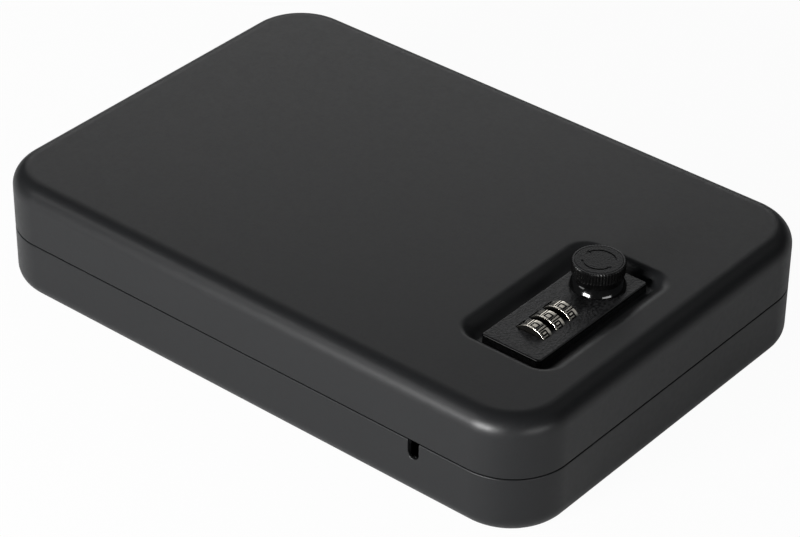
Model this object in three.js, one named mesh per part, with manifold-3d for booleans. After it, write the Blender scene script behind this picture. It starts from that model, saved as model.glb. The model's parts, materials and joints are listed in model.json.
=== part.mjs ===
// A portable steel lock box for medicines: two pressed steel halves on a rear piano hinge, closed by a
// combination lock with three number dials and a turning knob that sits in a formed recess of the lid.
// Units are millimetres. +Z is up, +Y points to the hinge and the lock is at the -Y end. The origin is the
// centre of the underside. The box is drawn closed and unlocked, with its three dials at zero.

import * as THREE from 'three';
import { mergeVertices } from 'three/addons/utils/BufferGeometryUtils.js';
import Module from 'manifold-3d';

const wasm = await Module();
wasm.setup();

// Case: outer size, pressed radii and sheet thickness
const caseLength = 240;
const caseWidth = 164;
const caseHeight = 46;
const caseCorner = 22.4;
const topFillet = 6.8;
const bottomFillet = 7;
const sheet = 1.2;
const seamHeight = 23.3;
const seamGap = 0.4;
const rimBreak = 0.25;

// Cable notch in the left wall of the base
const notchWidth = 4.5;
const notchDepth = 6.9;
const notchFromFront = 44.75;

// Strip welded inside the base's rim, which the lid closes over
const lipThickness = 0.8;
const lipBelow = 9.4;
const lipAbove = 2.8;
const lipJoggle = 0.4;
const lipJoggleRise = 1.2;
const lipFromHinge = 28;

// Piano hinge on the rear wall
const hingeLength = 101;
const hingeRadius = 2.5;
const hingeLeaf = 1;
const hingeLeafMargin = 1.9;
const hingePinRadius = 1.25;
const hingePinDome = 0.6;
const knuckleGap = 0.3;
const knuckleCount = 9;

// Foam linings
const foamGap = 0.3;
const foamEdge = 1.6;
const basePadThickness = 6;
const lidPadThickness = 5;
const lidPadFromHinge = 8;
const lidPadFromPlate = 16;

// Recess in the lid round the lock plate
const recessDepth = 4.5;
const recessFloorMargin = 0.8;
const recessMarginX = 6.4;
const recessMarginY = 9;
const recessCorner = 9;
const slopeFootShare = 0.3;
const slopeBrowShare = 0.5;

// Lock plate and its place on the lid
const plateLength = 59.4;
const plateWidth = 24.2;
const plateThickness = 3;
const plateCorner = 1.4;
const plateEdgeRound = 0.8;
const plateFromFront = 35.3;
const plateOffCentre = 15.1;

// Casting under the lid, its neck that passes through the lid, and its cover
const bodyInset = 0.7;
const bodyWall = 1.3;
const bodyWeb = 1.2;
const neckWall = 0.7;
const neckGap = 0.2;
const throughGap = 0.4;
const coverThickness = 1.2;
const postRadius = 1.9;
const postLength = 3.2;
const postInset = 4;
const postFit = 0.3;
const bossWall = 1.3;
const screwShank = 0.95;
const screwHole = 1.2;
const screwHead = 2.2;
const screwHeadHeight = 1.2;
const screwGrip = 2.4;
const screwSlot = 0.7;
const screwDriveShare = 0.6;

// Number dials
const dialCount = 3;
const dialPitch = 7.12;
const dialsFromPlateEnd = 20.15;
const dialRadius = 7.6;
const dialWidth = 4.7;
const dialGap = 0.3;
const spindleDepth = 5.2;
const digitCount = 10;
const digitFieldAngle = 24;
const digitGroove = 0.5;
const dialBevel = 0.35;
const dialRim = 0.6;
const dialRimRise = 0.05;
const dialRestAngle = 3;
const dialRunOut = 0.5;

// Code hubs and spindle
const hubRadius = 2.9;
const hubFit = 0.25;
const collarRadius = 3.9;
const collarWidth = 1.8;
const collarRelief = 0.4;
const gateWidth = 1.7;
const gateDepth = 1.3;
const spindleRadius = 1.2;
const spindleFit = 0.2;
const ribThickness = 2.6;
const ribDepth = 4;

// Fence comb and detent spring
const combThickness = 0.8;
const combSpine = 1.8;
const combTooth = 1.2;
const combDrop = 1.6;
const combGap = 0.4;
const springThickness = 0.4;
const springWidth = 3;
const springHeight = 5;
const springReach = 0.25;
const springAngle = 129;

// Knob, shaft and cam
const knobFromPlateEnd = 12.1;
const knobGap = 0.25;
const knobFootRadius = 9.7;
const knobSkirtRadius = 9.05;
const knobSkirtHeight = 1.7;
const knobNeckRadius = 8.4;
const knobNeckHeight = 4;
const knobHeadRadius = 9.4;
const knobHeadHeight = 5.7;
const knobHeight = 10.4;
const knobChamfer = 0.55;
const knobRim = 0.45;
const knurlCount = 54;
const knurlDepth = 0.28;
const capInset = 0.12;
const capThickness = 0.8;
const capSink = 0.08;
const arrowRadius = 5.6;
const arrowWidth = 0.7;
const arrowDepth = 0.3;
const arrowAngle = 120;
const arrowRestAngle = -50;
const arrowHeadShare = 1.5;
const arrowPointShare = 2;
const shaftRadius = 3.6;
const shaftFit = 0.3;
const shaftEntry = 7.4;
const shaftSquare = 4.8;
const shaftThread = 1.9;
const camGap = 0.4;
const camThickness = 2;
const camHubRadius = 6.6;
const camWidth = 8;
const camReach = 21.5;
const camFit = 0.2;
const washerThickness = 0.8;
const washerRadius = 4.6;
const washerGap = 0.1;
const nutHeight = 2.6;
const nutRadius = 4.1;
const nutSides = 6;
const stopRadius = 1.1;
const stopGap = 0.2;
const stopFromHub = 3.6;

// Code change lever on the lock cover
const leverTravel = 3;
const leverWidth = 5;
const leverLength = 8;
const leverThickness = 1;
const leverKnobHeight = 1.4;
const leverStem = 1.6;
const leverGap = 0.3;
const leverFromPlateEnd = 9;

// Strike bracket on the base's front wall
const strikeThickness = 1.5;
const strikeWidth = 18;
const strikeFoot = 9;
const strikeJoggle = 0.7;
const strikeGap = 0.5;
const strikeReach = 17;
const strikeFromRim = 2.6;
const strikeNotch = 5;

// How finely round shapes are drawn, and how far a cutter runs past what it cuts
const cornerSteps = 6;
const filletSteps = 4;
const slopeSteps = 6;
const smallSteps = 10;
const barrelSteps = 14;
const roundSteps = 24;
const fineSteps = 36;
const overrun = 2;

// Places worked out from the sizes above
const wallX = caseWidth / 2;
const wallY = caseLength / 2;
const baseRim = seamHeight - seamGap / 2;
const lidRim = seamHeight + seamGap / 2;
const hingeY = wallY - sheet + hingeRadius - hingeLeaf;
const recessFloor = caseHeight - recessDepth;
const plateX = -plateOffCentre;
const plateY = plateFromFront - wallY;
const spindleZ = plateThickness - spindleDepth;
const coverTop = spindleZ - dialRadius - dialRunOut;
const coverUnderside = coverTop - coverThickness;
const dialsX = dialsFromPlateEnd - plateLength / 2;
const knobX = plateLength / 2 - knobFromPlateEnd;
const dialFirst = dialsX - (dialPitch * (dialCount - 1)) / 2;
const dialPlaces = Array.from({ length: dialCount }, (_, i) => dialFirst + i * dialPitch);
const hubStart = -dialWidth / 2;
const collarEnd = dialWidth / 2 + dialGap + collarWidth;
const chamberLow = dialPlaces[0] + hubStart - dialGap;
const chamberHigh = dialPlaces[dialCount - 1] + collarEnd + dialGap;
const chamberHalf = dialRadius + dialRunOut;
const bodyHalfX = plateLength / 2 - bodyInset;
const bodyHalfY = plateWidth / 2 - bodyInset;
const cavityHalfX = bodyHalfX - bodyWall;
const cavityHalfY = bodyHalfY - bodyWall;
const webUnderside = -sheet - bodyWeb;
const camTop = coverUnderside - camGap;
const camUnderside = camTop - camThickness;
const washerUnderside = camUnderside - washerGap - washerThickness;
const nutUnderside = washerUnderside - washerGap - nutHeight;
const turn = Math.PI * 2;
const radians = THREE.MathUtils.degToRad;

// Geometry helpers

/** Joins shared corners, drops faces of no area and turns every face outwards. */
function welded(geometry) {
  const bare = geometry.clone();
  bare.deleteAttribute('normal');
  bare.deleteAttribute('uv');
  const merged = mergeVertices(bare);
  const place = merged.attributes.position;
  const corner = (index) => new THREE.Vector3().fromBufferAttribute(place, index);
  const faces = [];
  let volume = 0;
  for (let i = 0; i < merged.index.count; i += 3) {
    const face = [0, 1, 2].map((k) => merged.index.getX(i + k));
    if (new Set(face).size === 3) {
      const [a, b, c] = face.map(corner);
      volume += a.dot(b.cross(c));
      faces.push(face);
    }
  }
  merged.clearGroups();
  merged.setIndex(faces.flatMap(([a, b, c]) => (volume < 0 ? [a, c, b] : [a, b, c])));
  return merged;
}

function toManifold(geometry) {
  const closed = welded(geometry);
  return new wasm.Manifold(new wasm.Mesh({
    numProp: 3,
    vertProperties: Float32Array.from(closed.attributes.position.array),
    triVerts: Uint32Array.from(closed.index.array),
  }));
}

function fromManifold(manifold) {
  const { vertProperties, triVerts, numProp } = manifold.getMesh();
  const geometry = new THREE.BufferGeometry();
  const places = [];
  for (let i = 0; i < vertProperties.length; i += numProp) {
    places.push(vertProperties[i], vertProperties[i + 1], vertProperties[i + 2]);
  }
  geometry.setAttribute('position', new THREE.Float32BufferAttribute(places, 3));
  geometry.setIndex(Array.from(triVerts));
  return geometry;
}

/** The first geometry with the others added to it. */
function joined(geometry, ...others) {
  return fromManifold(others.reduce((whole, other) => whole.add(toManifold(other)), toManifold(geometry)));
}

/** The first geometry with the others taken away from it. */
function cut(geometry, ...tools) {
  return fromManifold(tools.reduce((whole, tool) => whole.subtract(toManifold(tool)), toManifold(geometry)));
}

/** A rounded rectangle seen from above. */
function outline(x, y, halfX, halfY, corner) {
  return { x, y, halfX, halfY, corner };
}

/** The same rounded rectangle with each side moved out, or in where the distance is negative. */
function grown(shape, outX, outY = outX, corner = shape.corner + outX) {
  return outline(shape.x, shape.y, shape.halfX + outX, shape.halfY + outY, corner);
}

/** The points of a rounded rectangle at one height, anticlockwise from the right. */
function ring(shape, z) {
  const points = [];
  for (let side = 0; side < 4; side += 1) {
    const signX = side === 0 || side === 3 ? 1 : -1;
    const signY = side < 2 ? 1 : -1;
    for (let step = 0; step <= cornerSteps; step += 1) {
      const angle = ((side + step / cornerSteps) * turn) / 4;
      points.push(new THREE.Vector3(
        shape.x + signX * (shape.halfX - shape.corner) + shape.corner * Math.cos(angle),
        shape.y + signY * (shape.halfY - shape.corner) + shape.corner * Math.sin(angle),
        z,
      ));
    }
  }
  return points;
}

/** A skin over rings of equal count. Its two ends are capped, or joined to each other if it is a loop. */
function loft(rings, loop = false) {
  const count = rings[0].length;
  const points = rings.flat();
  const faces = [];
  const spans = loop ? rings.length : rings.length - 1;
  for (let span = 0; span < spans; span += 1) {
    const low = span * count;
    const high = ((span + 1) % rings.length) * count;
    for (let i = 0; i < count; i += 1) {
      const next = (i + 1) % count;
      faces.push(low + i, low + next, high + next, low + i, high + next, high + i);
    }
  }
  const cap = (start, down) => {
    const centre = new THREE.Vector3();
    points.slice(start, start + count).forEach((point) => centre.addScaledVector(point, 1 / count));
    points.push(centre);
    for (let i = 0; i < count; i += 1) {
      const here = start + i;
      const next = start + ((i + 1) % count);
      faces.push(points.length - 1, down ? next : here, down ? here : next);
    }
  };
  if (!loop) {
    cap(0, true);
    cap((rings.length - 1) * count, false);
  }
  const geometry = new THREE.BufferGeometry().setFromPoints(points);
  geometry.setIndex(faces);
  return geometry;
}

/** A straight prism of a rounded rectangle between two heights. */
function prism(shape, low, high) {
  return loft([ring(shape, low), ring(shape, high)]);
}

/** A box between two corners. */
function block(lowX, highX, lowY, highY, lowZ, highZ) {
  const box = new THREE.BoxGeometry(highX - lowX, highY - lowY, highZ - lowZ);
  return box.translate((lowX + highX) / 2, (lowY + highY) / 2, (lowZ + highZ) / 2);
}

/** An upright cylinder between two heights. */
function post(radius, low, high, x = 0, y = 0, steps = smallSteps) {
  const cylinder = new THREE.CylinderGeometry(radius, radius, high - low, steps);
  return cylinder.rotateX(turn / 4).translate(x, y, (low + high) / 2);
}

/** A cylinder along X between two places. */
function rod(radius, lowX, highX, y = 0, z = 0, steps = barrelSteps) {
  const cylinder = new THREE.CylinderGeometry(radius, radius, highX - lowX, steps);
  return cylinder.rotateZ(turn / 4).translate((lowX + highX) / 2, y, z);
}

/** A turned piece on the Z axis from a profile of radius and height pairs. */
function turned(profile, steps = roundSteps) {
  const points = profile.map(([radius, height]) => new THREE.Vector2(radius, height));
  return new THREE.LatheGeometry(points, steps).rotateX(turn / 4);
}

/** A turned piece on the X axis from a profile of radius and place pairs. */
function turnedAlongX(profile, steps = roundSteps) {
  return turned(profile, steps).rotateY(turn / 4);
}

/** A shape drawn in Y and Z, carried along X between two places. */
function alongX(shape, lowX, highX) {
  const solid = new THREE.ExtrudeGeometry(shape, {
    depth: highX - lowX,
    bevelEnabled: false,
    curveSegments: roundSteps / 2,
  });
  const axes = new THREE.Matrix4().makeBasis(
    new THREE.Vector3(0, 1, 0),
    new THREE.Vector3(0, 0, 1),
    new THREE.Vector3(1, 0, 0),
  );
  return solid.applyMatrix4(axes).translate(lowX, 0, 0);
}

/** A shape drawn in X and Y, raised between two heights. */
function raised(shape, low, high) {
  const solid = new THREE.ExtrudeGeometry(shape, {
    depth: high - low,
    bevelEnabled: false,
    curveSegments: roundSteps / 2,
  });
  return solid.translate(0, 0, low);
}

/** A sheet strip of one thickness along a path with rounded bends, laid on the path's left side. */
function strip(corners, thickness, bend = 0) {
  const points = corners.map(([x, y]) => new THREE.Vector2(x, y));
  const path = new THREE.Path().moveTo(points[0].x, points[0].y);
  points.slice(1, -1).forEach((corner, i) => {
    const before = points[i].clone().sub(corner).setLength(bend).add(corner);
    const after = points[i + 2].clone().sub(corner).setLength(bend).add(corner);
    path.lineTo(before.x, before.y);
    if (bend > 0) {
      path.quadraticCurveTo(corner.x, corner.y, after.x, after.y);
    }
  });
  const end = points[points.length - 1];
  path.lineTo(end.x, end.y);
  const face = path.getPoints(filletSteps - 1);
  const normal = (from, to) => to.clone().sub(from).normalize().rotateAround(new THREE.Vector2(), turn / 4);
  const back = face.map((point, i) => {
    const before = i > 0 ? normal(face[i - 1], point) : normal(point, face[i + 1]);
    const after = i < face.length - 1 ? normal(point, face[i + 1]) : before;
    const middle = before.clone().add(after).normalize();
    return point.clone().addScaledVector(middle, thickness / middle.dot(after));
  });
  return new THREE.Shape([...face, ...back.reverse()]);
}

/** Adds one named piece with its own finish to a group. */
function piece(group, name, geometry, finish) {
  const mesh = new THREE.Mesh(welded(geometry), new THREE.MeshStandardMaterial(finish));
  mesh.name = name;
  group.add(mesh);
  return mesh;
}

/** A group at one place. */
function groupAt(parent, x, y, z) {
  const group = new THREE.Group();
  group.position.set(x, y, z);
  parent.add(group);
  return group;
}

// Finishes
const powderCoat = { color: 0x2b2b2c, roughness: 0.55, metalness: 0 };
const castBlack = { color: 0x222223, roughness: 0.5, metalness: 0 };
const glossBlack = { color: 0x0c0c0d, roughness: 0.15, metalness: 0 };
const nickel = { color: 0xd6d2c8, roughness: 0.22, metalness: 1 };
const zincSteel = { color: 0xa9abac, roughness: 0.4, metalness: 1 };
const springSteel = { color: 0x8f8a80, roughness: 0.3, metalness: 1 };
const brass = { color: 0xb5924a, roughness: 0.3, metalness: 1 };
const foam = { color: 0x1d1d1e, roughness: 0.95, metalness: 0 };

// Case outlines
const caseOutline = outline(0, 0, wallX, wallY, caseCorner);
const plateOutline = outline(plateX, plateY, plateLength / 2, plateWidth / 2, plateCorner);
const bodyOutline = outline(0, 0, bodyHalfX, bodyHalfY, plateCorner);

// Steps of a quarter turn, each as the inward share and the height share of a fillet, from flat to upright
const filletShares = Array.from({ length: filletSteps + 1 }, (_, k) => {
  const angle = ((k / filletSteps) * turn) / 4;
  return [1 - Math.sin(angle), 1 - Math.cos(angle)];
});

/** Rings of a pan's fillet from its flat to its wall, for a skin set in from the case by some depth. */
function filletRings(shape, inset, radius, flat, up) {
  return filletShares.map(([inward, height]) => {
    const shift = -inset - (radius - inset) * inward;
    return ring(grown(shape, shift), flat + up * (inset + (radius - inset) * height));
  });
}

/** Rings over the open edge of a wall, from its outer face to its inner one, with the edges broken. */
function rimRings(rim, up) {
  return [
    ring(caseOutline, rim - up * rimBreak),
    ring(grown(caseOutline, -rimBreak), rim),
    ring(grown(caseOutline, rimBreak - sheet), rim),
    ring(grown(caseOutline, -sheet), rim - up * rimBreak),
  ];
}

/** The lid's slope from the recess floor to its level top, on the outer face or some depth below it. */
function slopeRings(depthBelow) {
  const slope = new THREE.CubicBezierCurve(
    new THREE.Vector2(0, 0),
    new THREE.Vector2(slopeFootShare, 0),
    new THREE.Vector2(1 - slopeBrowShare, 1),
    new THREE.Vector2(1, 1),
  );
  const runX = recessMarginX - recessFloorMargin;
  const runY = recessMarginY - recessFloorMargin;
  return Array.from({ length: slopeSteps + 1 }, (_, k) => {
    const { x: along, y: rise } = slope.getPoint(k / slopeSteps);
    const tangent = slope.getTangent(k / slopeSteps);
    const face = new THREE.Vector2(tangent.x * (runX + runY) / 2, tangent.y * recessDepth).normalize();
    const out = depthBelow * face.y;
    const corner = THREE.MathUtils.lerp(plateCorner + recessFloorMargin, recessCorner, along) + out;
    const shape = grown(
      plateOutline,
      recessFloorMargin + runX * along + out,
      recessFloorMargin + runY * along + out,
      corner,
    );
    return ring(shape, recessFloor + recessDepth * rise - depthBelow * face.x);
  });
}

// Base half
function baseShell() {
  const pan = loft([
    ...filletRings(caseOutline, 0, bottomFillet, 0, 1),
    ...rimRings(baseRim, 1),
    ...filletRings(caseOutline, sheet, bottomFillet, 0, 1).reverse(),
  ]);
  const notchBottom = baseRim - notchDepth + notchWidth / 2;
  const notchY = notchFromFront - wallY;
  const notch = new THREE.Shape();
  notch.moveTo(notchY - notchWidth / 2, baseRim + overrun);
  notch.lineTo(notchY - notchWidth / 2, notchBottom);
  notch.absarc(notchY, notchBottom, notchWidth / 2, turn / 2, turn, false);
  notch.lineTo(notchY + notchWidth / 2, baseRim + overrun);
  return cut(pan, alongX(notch, -wallX - overrun, -wallX + sheet + overrun), hingeRelief(-1));
}

/** The gap in a rear wall that leaves room for the hinge's barrel. */
function hingeRelief(up) {
  const reach = hingeRadius + knuckleGap;
  const half = hingeLength / 2 + hingePinDome + knuckleGap;
  const ends = [seamHeight - up * overrun, seamHeight + up * reach].sort((a, b) => a - b);
  return block(-half, half, wallY - sheet - overrun, wallY + overrun, ...ends);
}

function rimLip() {
  const below = baseRim - lipBelow;
  const step = baseRim - lipJoggleRise;
  const above = baseRim + lipAbove;
  const face = [[sheet, below], [sheet, step], [sheet + lipJoggle, baseRim], [sheet + lipJoggle, above]];
  const back = face.map(([inset, z]) => [inset + lipThickness, z]).reverse();
  const band = loft([...face, ...back].map(([inset, z]) => ring(grown(caseOutline, -inset), z)), true);
  const rear = block(-wallX, wallX, wallY - lipFromHinge, wallY, below - overrun, above + overrun);
  const notchY = notchFromFront - wallY;
  const cableWay = block(
    -wallX,
    -wallX + sheet + lipJoggle + lipThickness + overrun,
    notchY - notchWidth / 2,
    notchY + notchWidth / 2,
    baseRim - notchDepth,
    above + overrun,
  );
  return cut(band, rear, cableWay);
}

function strikeBracket() {
  const foot = sheet + lipThickness - wallY;
  const leg = foot + strikeJoggle;
  const bottom = baseRim - strikeFromRim - strikeFoot;
  const flange = recessFloor + camTop + strikeGap;
  const shape = strip([
    [foot + strikeThickness, bottom],
    [foot + strikeThickness, bottom + strikeFoot],
    [leg + strikeThickness, baseRim],
    [leg + strikeThickness, flange],
    [foot + strikeReach, flange],
  ], strikeThickness, strikeJoggle / 2);
  const x = plateX + knobX;
  const bracket = alongX(shape, x - strikeWidth / 2, x + strikeWidth / 2);
  const lightening = block(
    x - strikeNotch / 2,
    x + strikeNotch / 2,
    foot - overrun,
    leg + strikeThickness + overrun,
    baseRim + strikeJoggle,
    flange - strikeThickness,
  );
  return cut(bracket, lightening);
}

// Hinge, drawn about its own axis
function hingeHalf(up) {
  const leafFace = -hingeRadius;
  const leafBack = hingeLeaf - hingeRadius;
  const span = (near, far) => [up * near, up * far].sort((a, b) => a - b);
  const wall = up < 0 ? seamHeight - bottomFillet : caseHeight - seamHeight - topFillet;
  const leafHeight = wall - hingeLeafMargin;
  const free = hingeRadius + knuckleGap;
  const knuckle = hingeLength / knuckleCount;
  const first = up < 0 ? 0 : 1;
  const leaf = block(-hingeLength / 2, hingeLength / 2, leafFace, leafBack, ...span(free, leafHeight));
  const parts = [];
  for (let i = first; i < knuckleCount; i += 2) {
    const low = -hingeLength / 2 + i * knuckle + (i > 0 ? knuckleGap / 2 : 0);
    const high = -hingeLength / 2 + (i + 1) * knuckle - (i < knuckleCount - 1 ? knuckleGap / 2 : 0);
    parts.push(rod(hingeRadius, low, high));
    parts.push(block(low, high, leafFace, leafBack, ...span(0, leafHeight)));
  }
  const bore = rod(hingeRadius - hingeLeaf, -hingeLength, hingeLength);
  return cut(joined(leaf, ...parts), bore);
}

function hingePin() {
  const half = hingeLength / 2;
  return turnedAlongX([
    [0, -half - hingePinDome],
    [hingePinRadius - hingePinDome / 2, -half - hingePinDome],
    [hingePinRadius, -half],
    [hingePinRadius, half],
    [hingePinRadius - hingePinDome / 2, half + hingePinDome],
    [0, half + hingePinDome],
  ], smallSteps);
}

// Foam linings: the lower edge follows the pressed corner of the pan up to where the upper edge is eased
function foamPad(shape, radius, flat, up, thickness) {
  const inset = sheet + foamGap;
  const fillet = radius - inset;
  const rise = thickness - foamEdge;
  const end = Math.acos(Math.max(0, 1 - rise / fillet));
  const layer = (shift, height) => ring(grown(shape, shift), flat + up * (inset + height));
  const lower = Array.from({ length: filletSteps + 1 }, (_, k) => {
    const angle = (end * k) / filletSteps;
    return layer(-inset - fillet * (1 - Math.sin(angle)), fillet * (1 - Math.cos(angle)));
  });
  const side = -inset - fillet * (1 - Math.sin(end));
  return loft([
    ...lower,
    layer(side, rise),
    layer(side - foamEdge / 4, thickness - foamEdge / 4),
    layer(side - foamEdge, thickness),
  ]);
}

function basePad() {
  return foamPad(caseOutline, bottomFillet, 0, 1, basePadThickness);
}

function lidPad() {
  const front = plateY + plateWidth / 2 + lidPadFromPlate;
  const back = wallY - lidPadFromHinge;
  const shape = outline(0, (front + back) / 2, wallX, (back - front) / 2, caseCorner);
  return foamPad(shape, topFillet, caseHeight, -1, lidPadThickness);
}

// Lid half
function lidShell() {
  const pan = loft([
    ...slopeRings(sheet),
    ...filletRings(caseOutline, sheet, topFillet, caseHeight, -1),
    ...rimRings(lidRim, -1).reverse(),
    ...filletRings(caseOutline, 0, topFillet, caseHeight, -1).reverse(),
    ...slopeRings(0).reverse(),
  ]);
  const low = recessFloor - sheet - overrun;
  const high = recessFloor + overrun;
  const neckHole = grown(neckOutline(), throughGap);
  neckHole.x += plateX;
  neckHole.y += plateY;
  const posts = postPlaces().map(([x, y]) => post(postRadius + postFit, low, high, plateX + x, plateY + y));
  const shaftHole = post(shaftRadius + throughGap, low, high, plateX + knobX, plateY, roundSteps);
  return cut(pan, hingeRelief(1), prism(neckHole, low, high), shaftHole, ...posts);
}

// Lock, drawn about the plate's centre with the recess floor at zero height

/** The four corners where screws hold plate, body and cover together. */
function postPlaces() {
  const x = plateLength / 2 - postInset;
  const y = plateWidth / 2 - postInset;
  return [[-x, -y], [x, -y], [x, y], [-x, y]];
}

/** The raised neck of the body that passes through the lid round the dials. */
function neckOutline() {
  const low = chamberLow - ribThickness;
  const high = chamberHigh + ribThickness;
  return outline((low + high) / 2, 0, (high - low) / 2, chamberHalf + neckWall, neckWall);
}

function lockPlate() {
  const flat = outline(0, 0, plateLength / 2, plateWidth / 2, plateCorner);
  const edge = [...filletShares].reverse().map(([inward, height]) => (
    ring(grown(flat, -plateEdgeRound * inward), plateThickness - plateEdgeRound * height)
  ));
  const slab = loft([ring(flat, 0), ...edge]);
  const posts = postPlaces().map(([x, y]) => post(postRadius, -postLength, plateThickness / 2, x, y));
  const bores = postPlaces().map(([x, y]) => post(screwHole, -postLength - overrun, 0, x, y));
  const reach = dialWidth / 2 + dialGap;
  const windows = dialPlaces.map((x) => (
    rod(dialRadius + dialGap, x - reach, x + reach, 0, spindleZ, fineSteps)
  ));
  const relief = rod(collarRadius + collarRelief, chamberLow, chamberHigh, 0, spindleZ);
  const shaftBore = post(shaftRadius + shaftFit, -overrun, plateThickness + overrun, knobX, 0, roundSteps);
  return cut(joined(slab, ...posts), ...bores, ...windows, relief, shaftBore);
}

function lockBody() {
  const neck = neckOutline();
  const cavity = outline(0, 0, cavityHalfX, cavityHalfY, plateCorner);
  const tray = cut(prism(bodyOutline, coverTop, -sheet), prism(cavity, coverTop - overrun, webUnderside));
  const corners = postPlaces().map(([x, y]) => post(postRadius + bossWall, coverTop, -sheet, x, y));
  const boss = post(shaftRadius + shaftFit + bossWall, coverTop, -sheet, knobX, 0, roundSteps);
  const rib = (low) => block(low, low + ribThickness, -ribDepth, ribDepth, spindleZ - ribDepth, -neckGap);
  const ribs = [rib(chamberLow - ribThickness), rib(chamberHigh)];
  const solid = joined(tray, prism(neck, webUnderside, -neckGap), boss, ...corners, ...ribs);
  const chamber = block(chamberLow, chamberHigh, -chamberHalf, chamberHalf, coverTop, overrun);
  const sockets = postPlaces().map(([x, y]) => (
    post(postRadius + postFit, -postLength - postFit, overrun, x, y)
  ));
  const screws = postPlaces().map(([x, y]) => post(screwHole, coverTop - overrun, overrun, x, y));
  const axleLow = chamberLow - ribThickness / 2;
  const axleHigh = chamberHigh + ribThickness / 2;
  const axle = rod(spindleRadius + spindleFit, axleLow, axleHigh, 0, spindleZ);
  const shaftBore = post(shaftRadius + shaftFit, coverTop - overrun, overrun, knobX, 0, roundSteps);
  return cut(solid, chamber, axle, shaftBore, ...sockets, ...screws);
}

// Where the code change lever stands at rest
const leverX = leverFromPlateEnd + leverLength / 2 - plateLength / 2;

function lockCover() {
  const plate = prism(bodyOutline, coverUnderside, coverTop);
  const low = coverUnderside - overrun;
  const high = coverTop + overrun;
  const holes = postPlaces().map(([x, y]) => post(screwHole, low, high, x, y));
  const shaftHole = post(shaftRadius + shaftFit, low, high, knobX, 0, roundSteps);
  const slotHalf = (leverTravel + leverStem) / 2 + leverGap;
  const slot = outline(leverX + leverTravel / 2, 0, slotHalf, leverStem / 2 + leverGap, leverStem / 2);
  const stopAway = camWidth / 2 + stopGap + stopRadius;
  const stopOut = camHubRadius + stopFromHub;
  const stop = (x, y) => post(stopRadius, camUnderside, coverTop - coverThickness / 2, x, y);
  const stops = [stop(knobX - stopOut, stopAway), stop(knobX + stopAway, -stopOut)];
  return cut(joined(plate, ...stops), shaftHole, prism(slot, low, high), ...holes);
}

function coverScrew() {
  const top = coverUnderside + coverThickness + screwGrip - coverTop - postLength;
  const head = coverUnderside - screwHeadHeight;
  const screw = turned([
    [0, head],
    [screwHead - screwHeadHeight / 3, head],
    [screwHead, head + screwHeadHeight / 3],
    [screwHead, coverUnderside],
    [screwShank, coverUnderside],
    [screwShank, top - screwShank / 2],
    [screwShank / 2, top],
    [0, top],
  ], smallSteps);
  const arm = screwHead * screwDriveShare;
  const depth = head + screwHeadHeight / 2;
  const low = head - overrun;
  return cut(
    screw,
    block(-arm, arm, -screwSlot / 2, screwSlot / 2, low, depth),
    block(-screwSlot / 2, screwSlot / 2, -arm, arm, low, depth),
  );
}

function dialSpindle() {
  const low = chamberLow - ribThickness / 2 + spindleFit;
  const high = chamberHigh + ribThickness / 2 - spindleFit;
  const ease = spindleRadius / 4;
  return turnedAlongX([
    [0, low],
    [spindleRadius - ease, low],
    [spindleRadius, low + ease],
    [spindleRadius, high - ease],
    [spindleRadius - ease, high],
    [0, high],
  ], smallSteps).translate(0, 0, spindleZ);
}

/** A wheel with a plain rim on its left, ten raised digit fields and a groove between each two. */
function dialWheel() {
  const pitch = turn / digitCount;
  const half = radians(digitFieldAngle / 2);
  const at = (radius, angle) => new THREE.Vector2(radius * Math.sin(angle), radius * Math.cos(angle));
  const points = [];
  for (let digit = 0; digit < digitCount; digit += 1) {
    const centre = digit * pitch;
    points.push(...[-half, 0, half].map((angle) => at(dialRadius, centre + angle)));
    const shoulder = half + digitGroove / dialRadius;
    points.push(at(dialRadius - digitGroove, centre + shoulder));
    points.push(at(dialRadius - digitGroove, centre + pitch - shoulder));
  }
  const shape = new THREE.Shape(points);
  const wheel = new THREE.ExtrudeGeometry(shape, {
    depth: dialWidth - 2 * dialBevel,
    bevelThickness: dialBevel,
    bevelSize: dialBevel,
    bevelOffset: -dialBevel,
    bevelSegments: 1,
  });
  wheel.translate(0, 0, dialBevel - dialWidth / 2).rotateY(turn / 4);
  const side = -dialWidth / 2;
  const rim = turnedAlongX([
    [0, side],
    [dialRadius - dialBevel, side],
    [dialRadius + dialRimRise, side + dialBevel / 2],
    [dialRadius + dialRimRise, side + dialRim],
    [0, side + dialRim],
  ], fineSteps);
  return cut(joined(wheel, rim), rod(hubRadius + hubFit, -dialWidth, dialWidth));
}

/** The hub in a wheel: a sleeve with a collar beside the wheel, and the gate cut in the collar. */
function codeHub() {
  const bore = spindleRadius + spindleFit;
  const collarStart = dialWidth / 2 + dialGap;
  const sleeve = turnedAlongX([
    [bore, hubStart],
    [hubRadius, hubStart],
    [hubRadius, collarStart],
    [collarRadius, collarStart],
    [collarRadius, collarEnd],
    [bore, collarEnd],
    [bore, hubStart],
  ], smallSteps);
  const gate = block(collarStart, collarEnd + overrun, -gateWidth / 2, gateWidth / 2,
    -collarRadius - overrun, gateDepth - collarRadius);
  return cut(sleeve, gate);
}

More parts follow.
